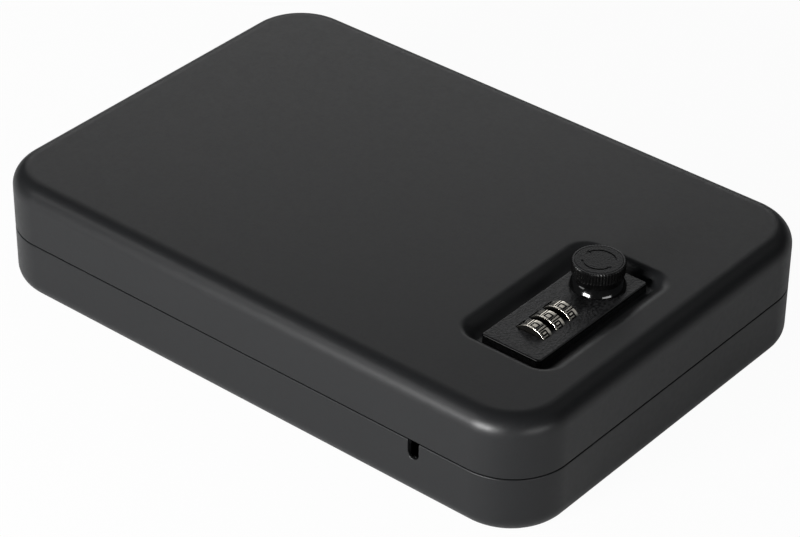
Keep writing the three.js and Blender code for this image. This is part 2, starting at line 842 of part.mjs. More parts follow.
/** The comb whose teeth stand under the gates, clear of the collars, with its spine beside the dials. */
function fenceComb() {
  const tip = spindleZ - collarRadius - combGap;
  const top = tip - combDrop / 2;
  const low = top - combThickness;
  const far = cavityHalfY - combGap;
  const near = far - combSpine;
  const spine = block(chamberLow, chamberHigh, near, far, low, top);
  const teeth = dialPlaces.flatMap((x) => {
    const middle = x + dialWidth / 2 + dialGap + collarWidth / 2;
    const left = middle - combTooth / 2;
    const right = middle + combTooth / 2;
    return [
      block(left, right, -combTooth / 2, far, low, top),
      block(left, right, -combTooth / 2, combTooth / 2, low, tip),
    ];
  });
  const guide = (x) => block(x, x + combTooth, near, far, coverTop, top);
  return joined(spine, ...teeth, guide(chamberLow), guide(chamberHigh - combTooth));
}

/** The spring: a plate on the front wall with one finger per dial, whose end stands at a groove. */
function detentSpring() {
  const wall = combGap - cavityHalfY;
  const reach = dialRadius + springReach;
  const angle = radians(springAngle);
  const tip = [-reach * Math.sin(angle), spindleZ + reach * Math.cos(angle)];
  const foot = coverTop + combGap + springThickness;
  const finger = strip([[wall, foot + springHeight / 2], [wall, foot], tip], springThickness);
  const top = foot + springHeight;
  const plate = block(chamberLow, chamberHigh, wall, wall + springThickness, foot + springThickness, top);
  const fingers = dialPlaces.map((x) => alongX(finger, x - springWidth / 2, x + springWidth / 2));
  return joined(plate, ...fingers);
}

function codeLever() {
  const top = coverUnderside - leverGap;
  const low = top - leverThickness;
  const slideOutline = outline(0, 0, (leverLength - leverTravel) / 2, leverWidth / 2, leverStem / 2);
  const gripOutline = outline(0, 0, leverStem / 2, (leverWidth - leverStem) / 2, leverStem / 4);
  const slide = prism(slideOutline, low, top);
  const grip = prism(gripOutline, low - leverKnobHeight, low + leverThickness / 2);
  const stem = post(leverStem / 2, low + leverThickness / 2, coverTop + leverGap);
  return joined(slide, grip, stem);
}

// Knob, drawn about its axis with the plate's face at zero height
function knobBody() {
  const foot = knobGap;
  const top = knobHeight;
  const rimTop = knobHeadRadius - knobChamfer;
  const well = rimTop - knobRim;
  const wellFloor = top - capThickness - capSink;
  const body = turned([
    [0, foot],
    [knobFootRadius, foot],
    [knobFootRadius, foot + knobGap],
    [knobSkirtRadius, knobSkirtHeight],
    [knobNeckRadius + (knobSkirtRadius - knobNeckRadius) / 3, (knobSkirtHeight + knobNeckHeight) / 2],
    [knobNeckRadius, knobNeckHeight],
    [knobNeckRadius, knobHeadHeight - knurlDepth],
    [knobHeadRadius - knurlDepth, knobHeadHeight],
    [knobHeadRadius - knurlDepth, top - knobChamfer - knurlDepth],
    [rimTop, top],
    [well, top],
    [well, wellFloor],
    [0, wellFloor],
  ], fineSteps);
  const teeth = [];
  for (let i = 0; i < knurlCount; i += 1) {
    const angle = (i / knurlCount) * turn;
    const next = ((i + 1 / 2) / knurlCount) * turn;
    teeth.push(new THREE.Vector2(knobHeadRadius * Math.cos(angle), knobHeadRadius * Math.sin(angle)));
    const valley = knobHeadRadius - knurlDepth;
    teeth.push(new THREE.Vector2(valley * Math.cos(next), valley * Math.sin(next)));
  }
  const knurl = raised(new THREE.Shape(teeth), knobHeadHeight + knurlDepth, top - knobChamfer - knurlDepth);
  const core = post(well - knurlDepth, knobHeadHeight, top - knobChamfer, 0, 0, fineSteps);
  const bore = post(shaftRadius + shaftFit, 0, shaftEntry + shaftFit, 0, 0, roundSteps);
  return cut(joined(body, cut(knurl, core)), bore);
}

/** The disc in the knob's top, with two turning arrows sunk in it. */
function knobCap() {
  const edge = knobHeadRadius - knobChamfer - knobRim - capInset;
  const top = knobHeight - capSink;
  const low = top - capThickness + capInset;
  const disc = turned([[0, low], [edge, low], [edge, top - capInset], [edge - capInset, top], [0, top]],
    fineSteps);
  const arrows = [0, turn / 2].map((half) => {
    const start = radians(arrowRestAngle) + half;
    const end = start + radians(arrowAngle);
    const arc = new THREE.Shape();
    arc.absarc(0, 0, arrowRadius + arrowWidth / 2, start, end, false);
    const point = (radius, angle) => [radius * Math.cos(angle), radius * Math.sin(angle)];
    const spread = (arrowWidth * arrowPointShare) / arrowRadius;
    arc.lineTo(...point(arrowRadius + arrowWidth * arrowHeadShare, end));
    arc.lineTo(...point(arrowRadius, end + spread));
    arc.lineTo(...point(arrowRadius - arrowWidth * arrowHeadShare, end));
    arc.absarc(0, 0, arrowRadius - arrowWidth / 2, end, start, true);
    return raised(arc, top - arrowDepth, top + overrun);
  });
  return cut(disc, ...arrows);
}

function knobShaft() {
  const plateFace = plateThickness;
  const low = coverUnderside - plateFace - camGap / 2;
  const square = nutUnderside + nutHeight - plateFace + washerGap;
  const thread = nutUnderside - plateFace - washerGap;
  const round = turned([
    [0, low],
    [shaftRadius, low],
    [shaftRadius, shaftEntry - knobGap],
    [shaftRadius - knobGap, shaftEntry],
    [0, shaftEntry],
  ]);
  const half = shaftSquare / 2;
  const flats = block(-half, half, -half, half, square + washerThickness, low + camGap / 2);
  const end = post(shaftThread, thread, low + camGap / 2);
  return joined(round, flats, end);
}

/** The cam: a round hub with one arm, which points to -X when the lock is open. */
function latchCam() {
  const half = camWidth / 2;
  const meet = Math.asin(half / camHubRadius);
  const shape = new THREE.Shape();
  shape.absarc(0, 0, camHubRadius, meet - turn / 2, turn / 2 - meet, false);
  shape.lineTo(half - camReach, half);
  shape.absarc(half - camReach, 0, half, turn / 4, (turn * 3) / 4, false);
  const hole = new THREE.Path();
  const side = shaftSquare / 2 + camFit;
  hole.moveTo(-side, -side).lineTo(-side, side).lineTo(side, side).lineTo(side, -side).closePath();
  shape.holes.push(hole);
  return raised(shape, camUnderside - plateThickness, camTop - plateThickness);
}

function camWasher() {
  const inner = shaftThread + camFit;
  const low = washerUnderside - plateThickness;
  const high = low + washerThickness;
  const profile = [[inner, low], [washerRadius, low], [washerRadius, high], [inner, high], [inner, low]];
  return turned(profile, barrelSteps);
}

function camNut() {
  const low = nutUnderside - plateThickness;
  const hexagon = post(nutRadius, low, low + nutHeight, 0, 0, nutSides);
  return cut(hexagon, post(shaftThread + camFit, low - overrun, low + nutHeight + overrun));
}

// Assembly
const lockBox = new THREE.Group();
const base = groupAt(lockBox, 0, 0, 0);
piece(base, 'base_shell', baseShell(), powderCoat);
piece(base, 'base_rim_lip', rimLip(), powderCoat);
piece(base, 'strike_bracket', strikeBracket(), zincSteel);
piece(base, 'base_foam_pad', basePad(), foam);

const hinge = groupAt(lockBox, 0, hingeY, seamHeight);
piece(hinge, 'base_hinge_leaf', hingeHalf(-1), powderCoat);
piece(hinge, 'hinge_pin', hingePin(), zincSteel);
piece(hinge, 'lid_hinge_leaf', hingeHalf(1), powderCoat);

const lid = groupAt(lockBox, 0, 0, 0);
piece(lid, 'lid_shell', lidShell(), powderCoat);
piece(lid, 'lid_foam_pad', lidPad(), foam);

const lock = groupAt(lid, plateX, plateY, recessFloor);
piece(lock, 'lock_plate', lockPlate(), castBlack);
piece(lock, 'lock_body', lockBody(), zincSteel);
piece(lock, 'lock_cover', lockCover(), zincSteel);
postPlaces().forEach(([x, y], i) => {
  piece(lock, `cover_screw_${i + 1}`, coverScrew(), zincSteel).position.set(x, y, 0);
});
piece(lock, 'dial_spindle', dialSpindle(), springSteel);
piece(lock, 'fence_comb', fenceComb(), springSteel);
piece(lock, 'detent_spring', detentSpring(), springSteel);
piece(groupAt(lock, leverX, 0, 0), 'code_change_lever', codeLever(), brass);

dialPlaces.forEach((x, i) => {
  const dial = groupAt(lock, x, 0, spindleZ);
  dial.rotation.x = radians(dialRestAngle);
  piece(dial, `dial_wheel_${i + 1}`, dialWheel(), nickel);
  piece(dial, `code_hub_${i + 1}`, codeHub(), brass);
});

const knob = groupAt(lock, knobX, 0, plateThickness);
piece(knob, 'knob', knobBody(), glossBlack);
piece(knob, 'knob_cap', knobCap(), castBlack);
piece(knob, 'knob_shaft', knobShaft(), zincSteel);
piece(knob, 'latch_cam', latchCam(), zincSteel);
piece(knob, 'cam_washer', camWasher(), zincSteel);
piece(knob, 'cam_nut', camNut(), zincSteel);

export default lockBox;
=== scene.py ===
"""Looks of a portable steel lock box for medicines: finishes, fine meshes, studio light and camera.

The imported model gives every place. The classes hold their sizes in millimetres, and a mesh becomes metres
when it is made. +Z is up, +Y points to the hinge, and the lock is at the -Y end of the lid.
"""

import json
import logging
import math
from collections.abc import Sequence
from dataclasses import dataclass, replace
from enum import Enum

import bpy
import numpy as np
from mathutils import Matrix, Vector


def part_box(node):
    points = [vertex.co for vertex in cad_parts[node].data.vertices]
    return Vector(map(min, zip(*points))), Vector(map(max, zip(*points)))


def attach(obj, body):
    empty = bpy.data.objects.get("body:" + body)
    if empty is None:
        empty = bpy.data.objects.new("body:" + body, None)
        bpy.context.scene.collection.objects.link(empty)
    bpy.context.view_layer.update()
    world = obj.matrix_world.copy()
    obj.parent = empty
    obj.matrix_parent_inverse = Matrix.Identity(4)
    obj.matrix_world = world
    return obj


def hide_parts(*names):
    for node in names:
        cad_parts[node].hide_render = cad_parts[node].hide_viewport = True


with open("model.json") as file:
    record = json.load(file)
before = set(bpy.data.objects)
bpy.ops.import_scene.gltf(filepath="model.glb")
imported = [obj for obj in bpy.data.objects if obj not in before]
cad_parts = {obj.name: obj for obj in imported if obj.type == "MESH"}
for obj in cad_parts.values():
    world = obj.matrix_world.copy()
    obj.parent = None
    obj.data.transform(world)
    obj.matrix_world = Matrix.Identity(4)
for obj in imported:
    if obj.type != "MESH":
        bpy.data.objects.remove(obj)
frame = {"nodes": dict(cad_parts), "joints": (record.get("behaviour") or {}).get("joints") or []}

LOG = logging.getLogger("lock_box")
MM = 0.001
TURN = 2 * math.pi
CORNER_STEPS = 20
FILLET_STEPS = 12
# How far a cutter reaches past what it cuts
OVERRUN = 1.0
# Faces that meet at less than this angle are shaded as one
CREASE = 50.0
# Points of a copied CAD mesh that lie closer than this are one
WELD_GAP = 0.001
# Its faces that meet at less than this angle are one
FLAT_ANGLE = 1.0
# The lock plate's corner radius, and the radius of the way for the knob's shaft
PLATE_CORNER = 1.4
SHAFT_HOLE = 3.9
NOISE_DETAIL = 2.0
NOISE_ROUGHNESS = 0.55


# Colour and nodes

def linear(code: str) -> tuple[float, float, float, float]:
    """Turn an sRGB hex colour into linear light.

    Args:
        code: six hex digits with a leading hash.

    Returns:
        Red, green, blue and an alpha of one.
    """
    parts = np.array([int(code[i:i + 2], 16) for i in (1, 3, 5)]) / 255
    light = np.where(parts <= 0.04045, parts / 12.92, ((parts + 0.055) / 1.055) ** 2.4)
    return (*light.tolist(), 1.0)


def add_node(tree: bpy.types.NodeTree, kind: str, inputs: dict[str | int, object] | None = None,
             **settings: object) -> bpy.types.Node:
    """Add a node, set its properties, and fill or link its inputs.

    Args:
        tree: the node tree that takes it.
        kind: the node's type name.
        inputs: for each socket name or number, a value or the socket that feeds it.
        settings: the node's own properties.

    Returns:
        The new node.
    """
    node = tree.nodes.new(kind)
    for name, value in settings.items():
        setattr(node, name, value)
    for name, value in (inputs or {}).items():
        if isinstance(value, bpy.types.NodeSocket):
            tree.links.new(value, node.inputs[name])
        else:
            node.inputs[name].default_value = value
    return node


def noise_at(tree: bpy.types.NodeTree, grain: float) -> bpy.types.NodeSocket:
    """Add noise on Object coordinates.

    Args:
        tree: the node tree that takes it.
        grain: the size of one grain in millimetres.

    Returns:
        The noise's value, from 0 to 1.
    """
    place = add_node(tree, "ShaderNodeTexCoord").outputs["Object"]
    return add_node(tree, "ShaderNodeTexNoise", {
        "Vector": place, "Scale": 1 / (grain * MM), "Detail": NOISE_DETAIL, "Roughness": NOISE_ROUGHNESS,
    }).outputs["Fac"]


def spread(tree: bpy.types.NodeTree, value: bpy.types.NodeSocket, low: float = 0, high: float = 1,
           start: float = 0.3, end: float = 0.7) -> bpy.types.NodeSocket:
    """Spread the middle of a pattern between two numbers.

    Args:
        tree: the node tree that takes it.
        value: the pattern.
        low: the result where the pattern is at the start.
        high: the result where it is at the end.
        start: the pattern's value that gives the low result.
        end: the one that gives the high result.

    Returns:
        The spread value.
    """
    return add_node(tree, "ShaderNodeMapRange", {
        "Value": value, "From Min": start, "From Max": end, "To Min": low, "To Max": high,
    }).outputs["Result"]


def reckoned(tree: bpy.types.NodeTree, operation: str, first: bpy.types.NodeSocket,
             second: bpy.types.NodeSocket | float) -> bpy.types.NodeSocket:
    """Return what a maths node makes of two values."""
    return add_node(tree, "ShaderNodeMath", {0: first, 1: second}, operation=operation).outputs[0]


def shader(name: str, **sockets: object) -> tuple[bpy.types.Material, bpy.types.NodeTree, bpy.types.Node]:
    """Make a material with one Principled shader whose named sockets are set.

    Args:
        name: the material's name.
        sockets: values by socket name, with underscores for spaces.

    Returns:
        The material, its node tree and its shader.
    """
    material = bpy.data.materials.new(name)
    material.use_nodes = True
    tree = material.node_tree
    node = tree.nodes["Principled BSDF"]
    for key, value in sockets.items():
        node.inputs[key.replace("_", " ")].default_value = value
    return material, tree, node


# Finishes

@dataclass(frozen=True)
class Finish:
    """A finish whose tone, roughness and relief vary with a fine grain. Its sizes are in millimetres."""

    name: str
    dark: str
    light: str
    roughness: tuple[float, float]
    grain: float
    depth: float
    level: float = 0.5
    metallic: float = 0.0

    def material(self) -> bpy.types.Material:
        """Return the finish's material, which is made only once.

        Returns:
            The material.
        """
        stored = bpy.data.materials.get(self.name)
        if stored:
            return stored
        made, tree, node = shader(self.name, Specular_IOR_Level=self.level, Metallic=self.metallic)
        self.pattern(tree, node)
        return made

    def tones(self, tree: bpy.types.NodeTree, node: bpy.types.Node, share: bpy.types.NodeSocket) -> None:
        """Colour a shader between the two tones.

        Args:
            tree: the material's node tree.
            node: its shader.
            share: the lighter tone's share.
        """
        inputs = {0: share, 6: linear(self.dark), 7: linear(self.light)}
        mix = add_node(tree, "ShaderNodeMix", inputs, data_type="RGBA")
        tree.links.new(mix.outputs[2], node.inputs["Base Color"])

    def layers(self) -> list[tuple[float, float]]:
        """Return the grain size and the height of each layer of the relief."""
        return [(self.grain, self.depth)]

    def pattern(self, tree: bpy.types.NodeTree, node: bpy.types.Node) -> None:
        """Vary a shader's colour with the grain, its roughness with the first layer, and its normal with all.

        Args:
            tree: the material's node tree.
            node: its shader.
        """
        layers = self.layers()
        self.tones(tree, node, spread(tree, noise_at(tree, self.grain)))
        rough = spread(tree, noise_at(tree, layers[0][0]), *self.roughness)
        tree.links.new(rough, node.inputs["Roughness"])
        target = node
        for grain, height in reversed(layers):
            if height > 0:
                inputs = {"Height": noise_at(tree, grain), "Distance": height * MM}
                bump = add_node(tree, "ShaderNodeBump", inputs)
                tree.links.new(bump.outputs["Normal"], target.inputs["Normal"])
                target = bump


@dataclass(frozen=True)
class PowderCoat(Finish):
    """Black polyester powder coat baked on steel: satin, with a soft orange peel that blurs reflections."""

    name: str = "satin_powder_coat"
    dark: str = "#141415"
    light: str = "#191a1b"
    roughness: tuple[float, float] = (0.36, 0.42)
    grain: float = 0.42
    depth: float = 0.01
    level: float = 0.3
    peel: float = 1.8

    def layers(self) -> list[tuple[float, float]]:
        """Return the peel's layer and the grain's."""
        return [(self.peel, self.depth), (self.grain, self.depth)]


@dataclass(frozen=True)
class TexturedCasting(Finish):
    """Zinc casting with a wrinkled black paint: matt, with a grain drawn a little coarse so that it shows."""

    name: str = "textured_black_casting"
    dark: str = "#030303"
    light: str = "#383839"
    roughness: tuple[float, float] = (0.28, 0.42)
    grain: float = 0.8
    depth: float = 0.22
    level: float = 0.22


@dataclass(frozen=True)
class GlossEnamel(Finish):
    """Glossy black enamel over a turned knob: deep black with sharp, small highlights."""

    name: str = "gloss_black_enamel"
    dark: str = "#030303"
    light: str = "#070707"
    roughness: tuple[float, float] = (0.08, 0.12)
    grain: float = 1.2
    depth: float = 0.003


@dataclass(frozen=True)
class DigitPaint(Finish):
    """Black enamel run into the engraved digits: flat and dull."""

    name: str = "digit_fill_enamel"
    dark: str = "#050505"
    light: str = "#0d0d0d"
    roughness: tuple[float, float] = (0.5, 0.7)
    grain: float = 0.3
    depth: float = 0.0
    level: float = 0.2


@dataclass(frozen=True)
class Metal(Finish):
    """A bare or plated metal: its colour is its own reflection, scattered a little by handling marks."""

    metallic: float = 1.0


@dataclass(frozen=True)
class OpenCellFoam(Finish):
    """Black polyurethane foam cut from a sheet: matt, with open cells of nearly a millimetre."""

    name: str = "open_cell_foam"
    dark: str = "#1b1b1d"
    light: str = "#3a3a3d"
    roughness: tuple[float, float] = (0.95, 0.95)
    grain: float = 0.9
    depth: float = 0.35
    level: float = 0.15
    pit_start: float = 0.1

    def pattern(self, tree: bpy.types.NodeTree, node: bpy.types.Node) -> None:
        """Give a shader round pits: each is deep at the middle of its cell, with painted shade darkening it
        there.

        Args:
            tree: the material's node tree.
            node: its shader.
        """
        node.inputs["Roughness"].default_value = self.roughness[1]
        place = add_node(tree, "ShaderNodeTexCoord").outputs["Object"]
        cells = add_node(tree, "ShaderNodeTexVoronoi", {"Vector": place, "Scale": 1 / (self.grain * MM)})
        share = spread(tree, cells.outputs["Distance"], start=self.pit_start)
        # Painted shade: the tone follows the pits' depth, darkest where they are deepest
        self.tones(tree, node, share)
        bump = add_node(tree, "ShaderNodeBump", {"Height": share, "Distance": self.depth * MM})
        tree.links.new(bump.outputs["Normal"], node.inputs["Normal"])


POWDER = PowderCoat()
CASTING = TexturedCasting()
# The cap's disc has the same paint, laid thinner
CAP_CASTING = replace(CASTING, name="textured_black_cap", grain=0.6, depth=0.14, light="#262627", level=0.18)
GLOSS = GlossEnamel()
# The head's knurled side has the knob's black, made satin by the knurling tool
SATIN = replace(
    GLOSS, name="satin_black_enamel", light="#0a0a0a", roughness=(0.26, 0.34), grain=0.5, level=0.16,
)
# The head's top edge is painted a dark grey as a painted highlight along its rim
RIM_HIGHLIGHT_GREY = replace(
    GLOSS, name="painted_rim_highlight_enamel", dark="#1c1c1c", light="#2c2c2d", roughness=(0.3, 0.4),
    grain=0.5, level=0.3,
)
FILL = DigitPaint()
FOAM = OpenCellFoam()
# Nickel plate over brass: warm white, bright, a little scattered by handling
NICKEL = Metal("nickel_plate", "#d6d0c3", "#eee9de", (0.14, 0.2), 0.7, 0.001)
# Painted shade: black on the wheels' side faces and in the lines between the fields, where they lie in shade
PAINTED_SHADE_BLACK = Metal("painted_shade_black", "#141413", "#1e1d1b", (0.45, 0.6), 0.7, 0.004)
# Zinc plate with a clear passivate: cool grey, satin
ZINC_PLATE = Metal("zinc_plated_steel", "#8d9092", "#aaadb0", (0.30, 0.42), 0.9, 0.006)
# Die-cast zinc as it leaves the mould: duller and darker than plated steel
DIE_CAST = Metal("die_cast_zinc", "#76797b", "#92959a", (0.42, 0.55), 1.1, 0.02)
# Hardened spring steel, oiled
SPRING = Metal("spring_steel", "#6e6a64", "#8a857d", (0.25, 0.35), 0.8, 0.004)
# Turned brass, lightly tarnished
BRASS = Metal("turned_brass", "#a5803a", "#c49c52", (0.25, 0.36), 0.6, 0.006)


# Shapes in millimetres

@dataclass(frozen=True)
class Solid:
    """A closed skin of points and faces."""

    points: np.ndarray
    faces: list[list[int]]

    def moved(self, x: float = 0, y: float = 0, z: float = 0) -> "Solid":
        """Return it shifted."""
        return Solid(self.points + np.array([x, y, z]), self.faces)

    def turned(self, axis: str, degrees: float) -> "Solid":
        """Return it turned about an axis through the origin."""
        matrix = np.array(Matrix.Rotation(math.radians(degrees), 3, axis))
        return Solid(self.points @ matrix.T, self.faces)

    def with_others(self, *others: "Solid") -> "Solid":
        """Add other skins, each of which stays closed.

        Args:
            others: the solids to add.

        Returns:
            One solid that holds them all.
        """
        points, faces = self.points, list(self.faces)
        for other in others:
            faces += [[i + len(points) for i in face] for face in other.faces]
            points = np.concatenate([points, other.points])
        return Solid(points, faces)


def about_z(radius: np.ndarray, angle: np.ndarray, height: np.ndarray) -> np.ndarray:
    """Return points at a radius from Z, an angle in radians from +X towards +Y, and a height."""
    radius, angle, height = np.broadcast_arrays(radius, angle, height)
    return np.stack([radius * np.cos(angle), radius * np.sin(angle), height], -1)


def about_x(place: np.ndarray, radius: np.ndarray, angle: np.ndarray) -> np.ndarray:
    """Return points at a place along X, a radius from X, and an angle in radians from +Z towards +Y."""
    place, radius, angle = np.broadcast_arrays(place, radius, angle)
    return np.stack([place, radius * np.sin(angle), radius * np.cos(angle)], -1)


def grid_faces(rows: int, columns: int, loop: bool) -> list[list[int]]:
    """Number the quads of a grid whose columns close on themselves.

    Args:
        rows: how many rows of points there are.
        columns: how many points a row has.
        loop: whether the last row joins the first.

    Returns:
        Four point numbers for each quad.
    """
    low = np.arange(rows if loop else rows - 1)[:, None] * columns
    high = (low + columns) % (rows * columns)
    here = np.arange(columns)
    after = (here + 1) % columns
    return np.stack([low + here, low + after, high + after, high + here], -1).reshape(-1, 4).tolist()


def loft(rings: Sequence[np.ndarray], loop: bool = False) -> Solid:
    """Lay a skin over rings of equal count, and close its two ends unless it is a loop.

    Args:
        rings: the rings, each anticlockwise as seen from the end.
        loop: whether the last ring joins the first.

    Returns:
        The closed solid.
    """
    count = len(rings[0])
    faces = grid_faces(len(rings), count, loop)
    if not loop:
        last = (len(rings) - 1) * count
        faces += [list(range(count))[::-1], list(range(last, last + count))]
    return Solid(np.concatenate(rings), faces)


def block(low: tuple[float, float, float], high: tuple[float, float, float]) -> Solid:
    """Make a box.

    Args:
        low: its lowest corner.
        high: its highest corner.

    Returns:
        The closed solid.
    """
    (x0, y0, z0), (x1, y1, z1) = low, high
    base = np.array([[x0, y0, z0], [x1, y0, z0], [x1, y1, z0], [x0, y1, z0]], float)
    return loft([base, base + np.array([0, 0, z1 - z0])])


def revolved(profile: np.ndarray, steps: int = 64, wave: np.ndarray | float = 0) -> Solid:
    """Turn a profile about Z: a point at angle a is (r cos a, r sin a, z).

    Args:
        profile: rows of radius and height. If it starts and ends on the axis it is closed there, and if not
            the last row joins the first.
        steps: how many points a turn has.
        wave: what is added to the radius, one row for each profile row and one column for each step.

    Returns:
        The closed solid.
    """
    angle = np.arange(steps) * TURN / steps
    profile = np.asarray(profile, float)
    poles = profile[0, 0] == 0 and profile[-1, 0] == 0
    rows = profile[1:-1] if poles else profile
    return loft(about_z(rows[:, :1] + wave, angle, rows[:, 1:]), loop=not poles)


def post(radius: float, low: float, high: float, x: float = 0, y: float = 0, steps: int = 48) -> Solid:
    """Return an upright cylinder between two heights."""
    return revolved(np.array([[0, low], [radius, low], [radius, high], [0, high]]), steps).moved(x, y)


def rod(radius: float, low: float, high: float, y: float = 0, z: float = 0, steps: int = 48) -> Solid:
    """Return a cylinder along X between two places."""
    return post(radius, low, high, steps=steps).turned("Y", 90).moved(0, y, z)


def along_x(section: np.ndarray, low: float, high: float) -> Solid:
    """Carry a closed section, rows of y and z, along X between two places."""
    ring = np.column_stack([np.full(len(section), low), section])
    return loft([ring, ring + np.array([high - low, 0, 0])])


def raised(shape: np.ndarray, low: float, high: float) -> Solid:
    """Carry a closed outline, rows of x and y, up between two heights."""
    ring = np.column_stack([shape, np.full(len(shape), low)])
    return loft([ring, ring + np.array([0, 0, high - low])])


def arc(x: float, y: float, radius: float, start: float, end: float, steps: int = 24) -> np.ndarray:
    """Return points of a circular arc between two angles in degrees."""
    angle = np.radians(np.linspace(start, end, steps + 1))
    return np.column_stack([x + radius * np.cos(angle), y + radius * np.sin(angle)])


def quarter_turn(steps: int = FILLET_STEPS) -> np.ndarray:
    """Return steps of a quarter circle from flat to upright, each as its inward and its height share."""
    angle = np.linspace(0, math.pi / 2, steps + 1)
    return np.column_stack([1 - np.sin(angle), 1 - np.cos(angle)])


def curve_through(knots: list[tuple[float, float]], steps: int = 8) -> np.ndarray:
    """Run a smooth curve through points.

    Between two of them it is the cubic whose slopes are those of the lines between its neighbours.

    Args:
        knots: the points that it passes.
        steps: how many points there are for each stretch.

    Returns:
        The curve's points.
    """
    given = np.array(knots, float)
    ends = np.vstack([2 * given[0] - given[1], given, 2 * given[-1] - given[-2]])
    t = np.linspace(0, 1, steps, endpoint=False)[:, None, None]
    a, b, c, d = ends[:-3], ends[1:-2], ends[2:-1], ends[3:]
    span = 2 * b + (c - a) * t + (2 * a - 5 * b + 4 * c - d) * t ** 2 + (3 * b - a - 3 * c + d) * t ** 3
    return np.vstack([(span / 2).transpose(1, 0, 2).reshape(-1, 2), given[-1:]])


@dataclass(frozen=True)
class Outline:
    """A rounded rectangle seen from above."""

    x: float
    y: float
    half_x: float
    half_y: float
    corner: float

    def grown(self, out_x: float, out_y: float | None = None, corner: float | None = None) -> "Outline":
        """Return it with each side moved out.

        Args:
            out_x: how far the left and right sides move out.
            out_y: how far the other two do, or None for the same.
            corner: the new corner radius, or None for one that stays parallel.

        Returns:
            The new outline.
        """
        out_y = out_x if out_y is None else out_y
        corner = self.corner + out_x if corner is None else corner
        return Outline(self.x, self.y, self.half_x + out_x, self.half_y + out_y, corner)

    def ring(self, z: float) -> np.ndarray:
        """Work out its points at one height: each corner is a quarter circle about its centre.

        Args:
            z: the height.

        Returns:
            The points, anticlockwise.
        """
        side = np.arange(4)[:, None]
        angle = (side + np.linspace(0, 1, CORNER_STEPS + 1)) * math.pi / 2
        sign_x = np.where((side == 0) | (side == 3), 1, -1)
        sign_y = np.where(side < 2, 1, -1)
        x = self.x + sign_x * (self.half_x - self.corner) + self.corner * np.cos(angle)
        y = self.y + sign_y * (self.half_y - self.corner) + self.corner * np.sin(angle)
        return np.stack([x, y, np.full_like(x, z)], -1).reshape(-1, 3)

    def posts(self, inset: float, radius: float, low: float, high: float) -> list[Solid]:
        """Return an upright cylinder near each of its corners, an inset away from the sides."""
        x, y = self.half_x - inset, self.half_y - inset
        return [post(radius, low, high, self.x + sx * x, self.y + sy * y) for sx in (-1, 1) for sy in (-1, 1)]


# Meshes

class Join(Enum):
    """How a solid is worked into an object's mesh."""

    ADD = "UNION"
    CUT = "DIFFERENCE"


def mesh_object(name: str, solid: Solid) -> bpy.types.Object:
    """Make an object in the scene from a solid, in metres.

    Args:
        name: the object's name.
        solid: its shape.

    Returns:
        The new object.
    """
    mesh = bpy.data.meshes.new(name)
    mesh.from_pydata((solid.points * MM).tolist(), [], solid.faces)
    made = bpy.data.objects.new(name, mesh)
    bpy.context.scene.collection.objects.link(made)
    return made


def settle(made: bpy.types.Object) -> None:
    """Apply an object's modifiers to its mesh.

    Args:
        made: the object.
    """
    bpy.context.view_layer.update()
    graph = bpy.context.evaluated_depsgraph_get()
    mesh = bpy.data.meshes.new_from_object(made.evaluated_get(graph), depsgraph=graph)
    made.modifiers.clear()
    made.data = mesh


def work(made: bpy.types.Object, join: Join, *tools: Solid) -> None:
    """Add solids to an object's mesh or cut them away, one after the other.

    Args:
        made: the object.
        join: which of the two.
        tools: the solids.
    """
    for tool in tools:
        other = mesh_object("tool", tool)
        step = made.modifiers.new("work", "BOOLEAN")
        step.operation = join.value
        step.solver = "EXACT"
        step.object = other
        settle(made)
        bpy.data.objects.remove(other)


def smooth(made: bpy.types.Object, crease: float = CREASE) -> None:
    """Shade an object smooth, but for edges over an angle in degrees."""
    made.data.shade_smooth()
    made.data.set_sharp_from_angle(angle=math.radians(crease))


def finish_edges(made: bpy.types.Object, width: float = 0, sharp: float = 35.0) -> None:
    """Break an object's edges and shade it smooth, with flat faces kept flat.

    Args:
        made: the object.
        width: the broken edge's width in millimetres, or 0 for none.
        sharp: the angle in degrees above which an edge counts.
    """
    if width > 0:
        bevel = made.modifiers.new("edges", "BEVEL")
        bevel.width = width * MM
        bevel.segments = 2
        bevel.limit_method = "ANGLE"
        bevel.angle_limit = math.radians(sharp)
        bevel.use_clamp_overlap = True
        settle(made)
    smooth(made)
    made.modifiers.new("normals", "WEIGHTED_NORMAL").keep_sharp = True
    settle(made)


def face_table(made: bpy.types.Object) -> tuple[np.ndarray, np.ndarray]:
    """Measure an object's faces.

    Args:
        made: the object.

    Returns:
        The middle of each face in millimetres, and each face's normal.
    """
    faces = made.data.polygons
    centres, normals = np.empty((2, 3 * len(faces)), np.float32)
    faces.foreach_get("center", centres)
    faces.foreach_get("normal", normals)
    return centres.reshape(-1, 3) / MM, normals.reshape(-1, 3)


def also_finish(made: bpy.types.Object, finish: Finish, chosen: np.ndarray) -> None:
    """Give some faces of a dressed piece another finish.

    Args:
        made: the piece.
        finish: the other finish.
        chosen: for each face, whether it gets it.
    """
    faces = made.data.polygons
    index = np.empty(len(faces), np.int32)
    faces.foreach_get("material_index", index)
    index[chosen] = len(made.data.materials)
    made.data.materials.append(finish.material())
    faces.foreach_set("material_index", index)


def dress(made: bpy.types.Object, finish: Finish, body: str, slot: str, *stands_for: str) -> bpy.types.Object:
    """Give a piece its finish, its body and the nodes that it stands for.

    Args:
        made: the piece.
        finish: the finish.
        body: the body that carries it.
        slot: the record's material slot; not used.
        stands_for: the nodes that it replaces.

    Returns:
        The same piece.
    """
    made.data.materials.clear()
    made.data.materials.append(finish.material())
    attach(made, body)
    if stands_for:
        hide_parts(*stands_for)
    LOG.info("%s: %d faces, on %s", made.name, len(made.data.polygons), body)
    return made


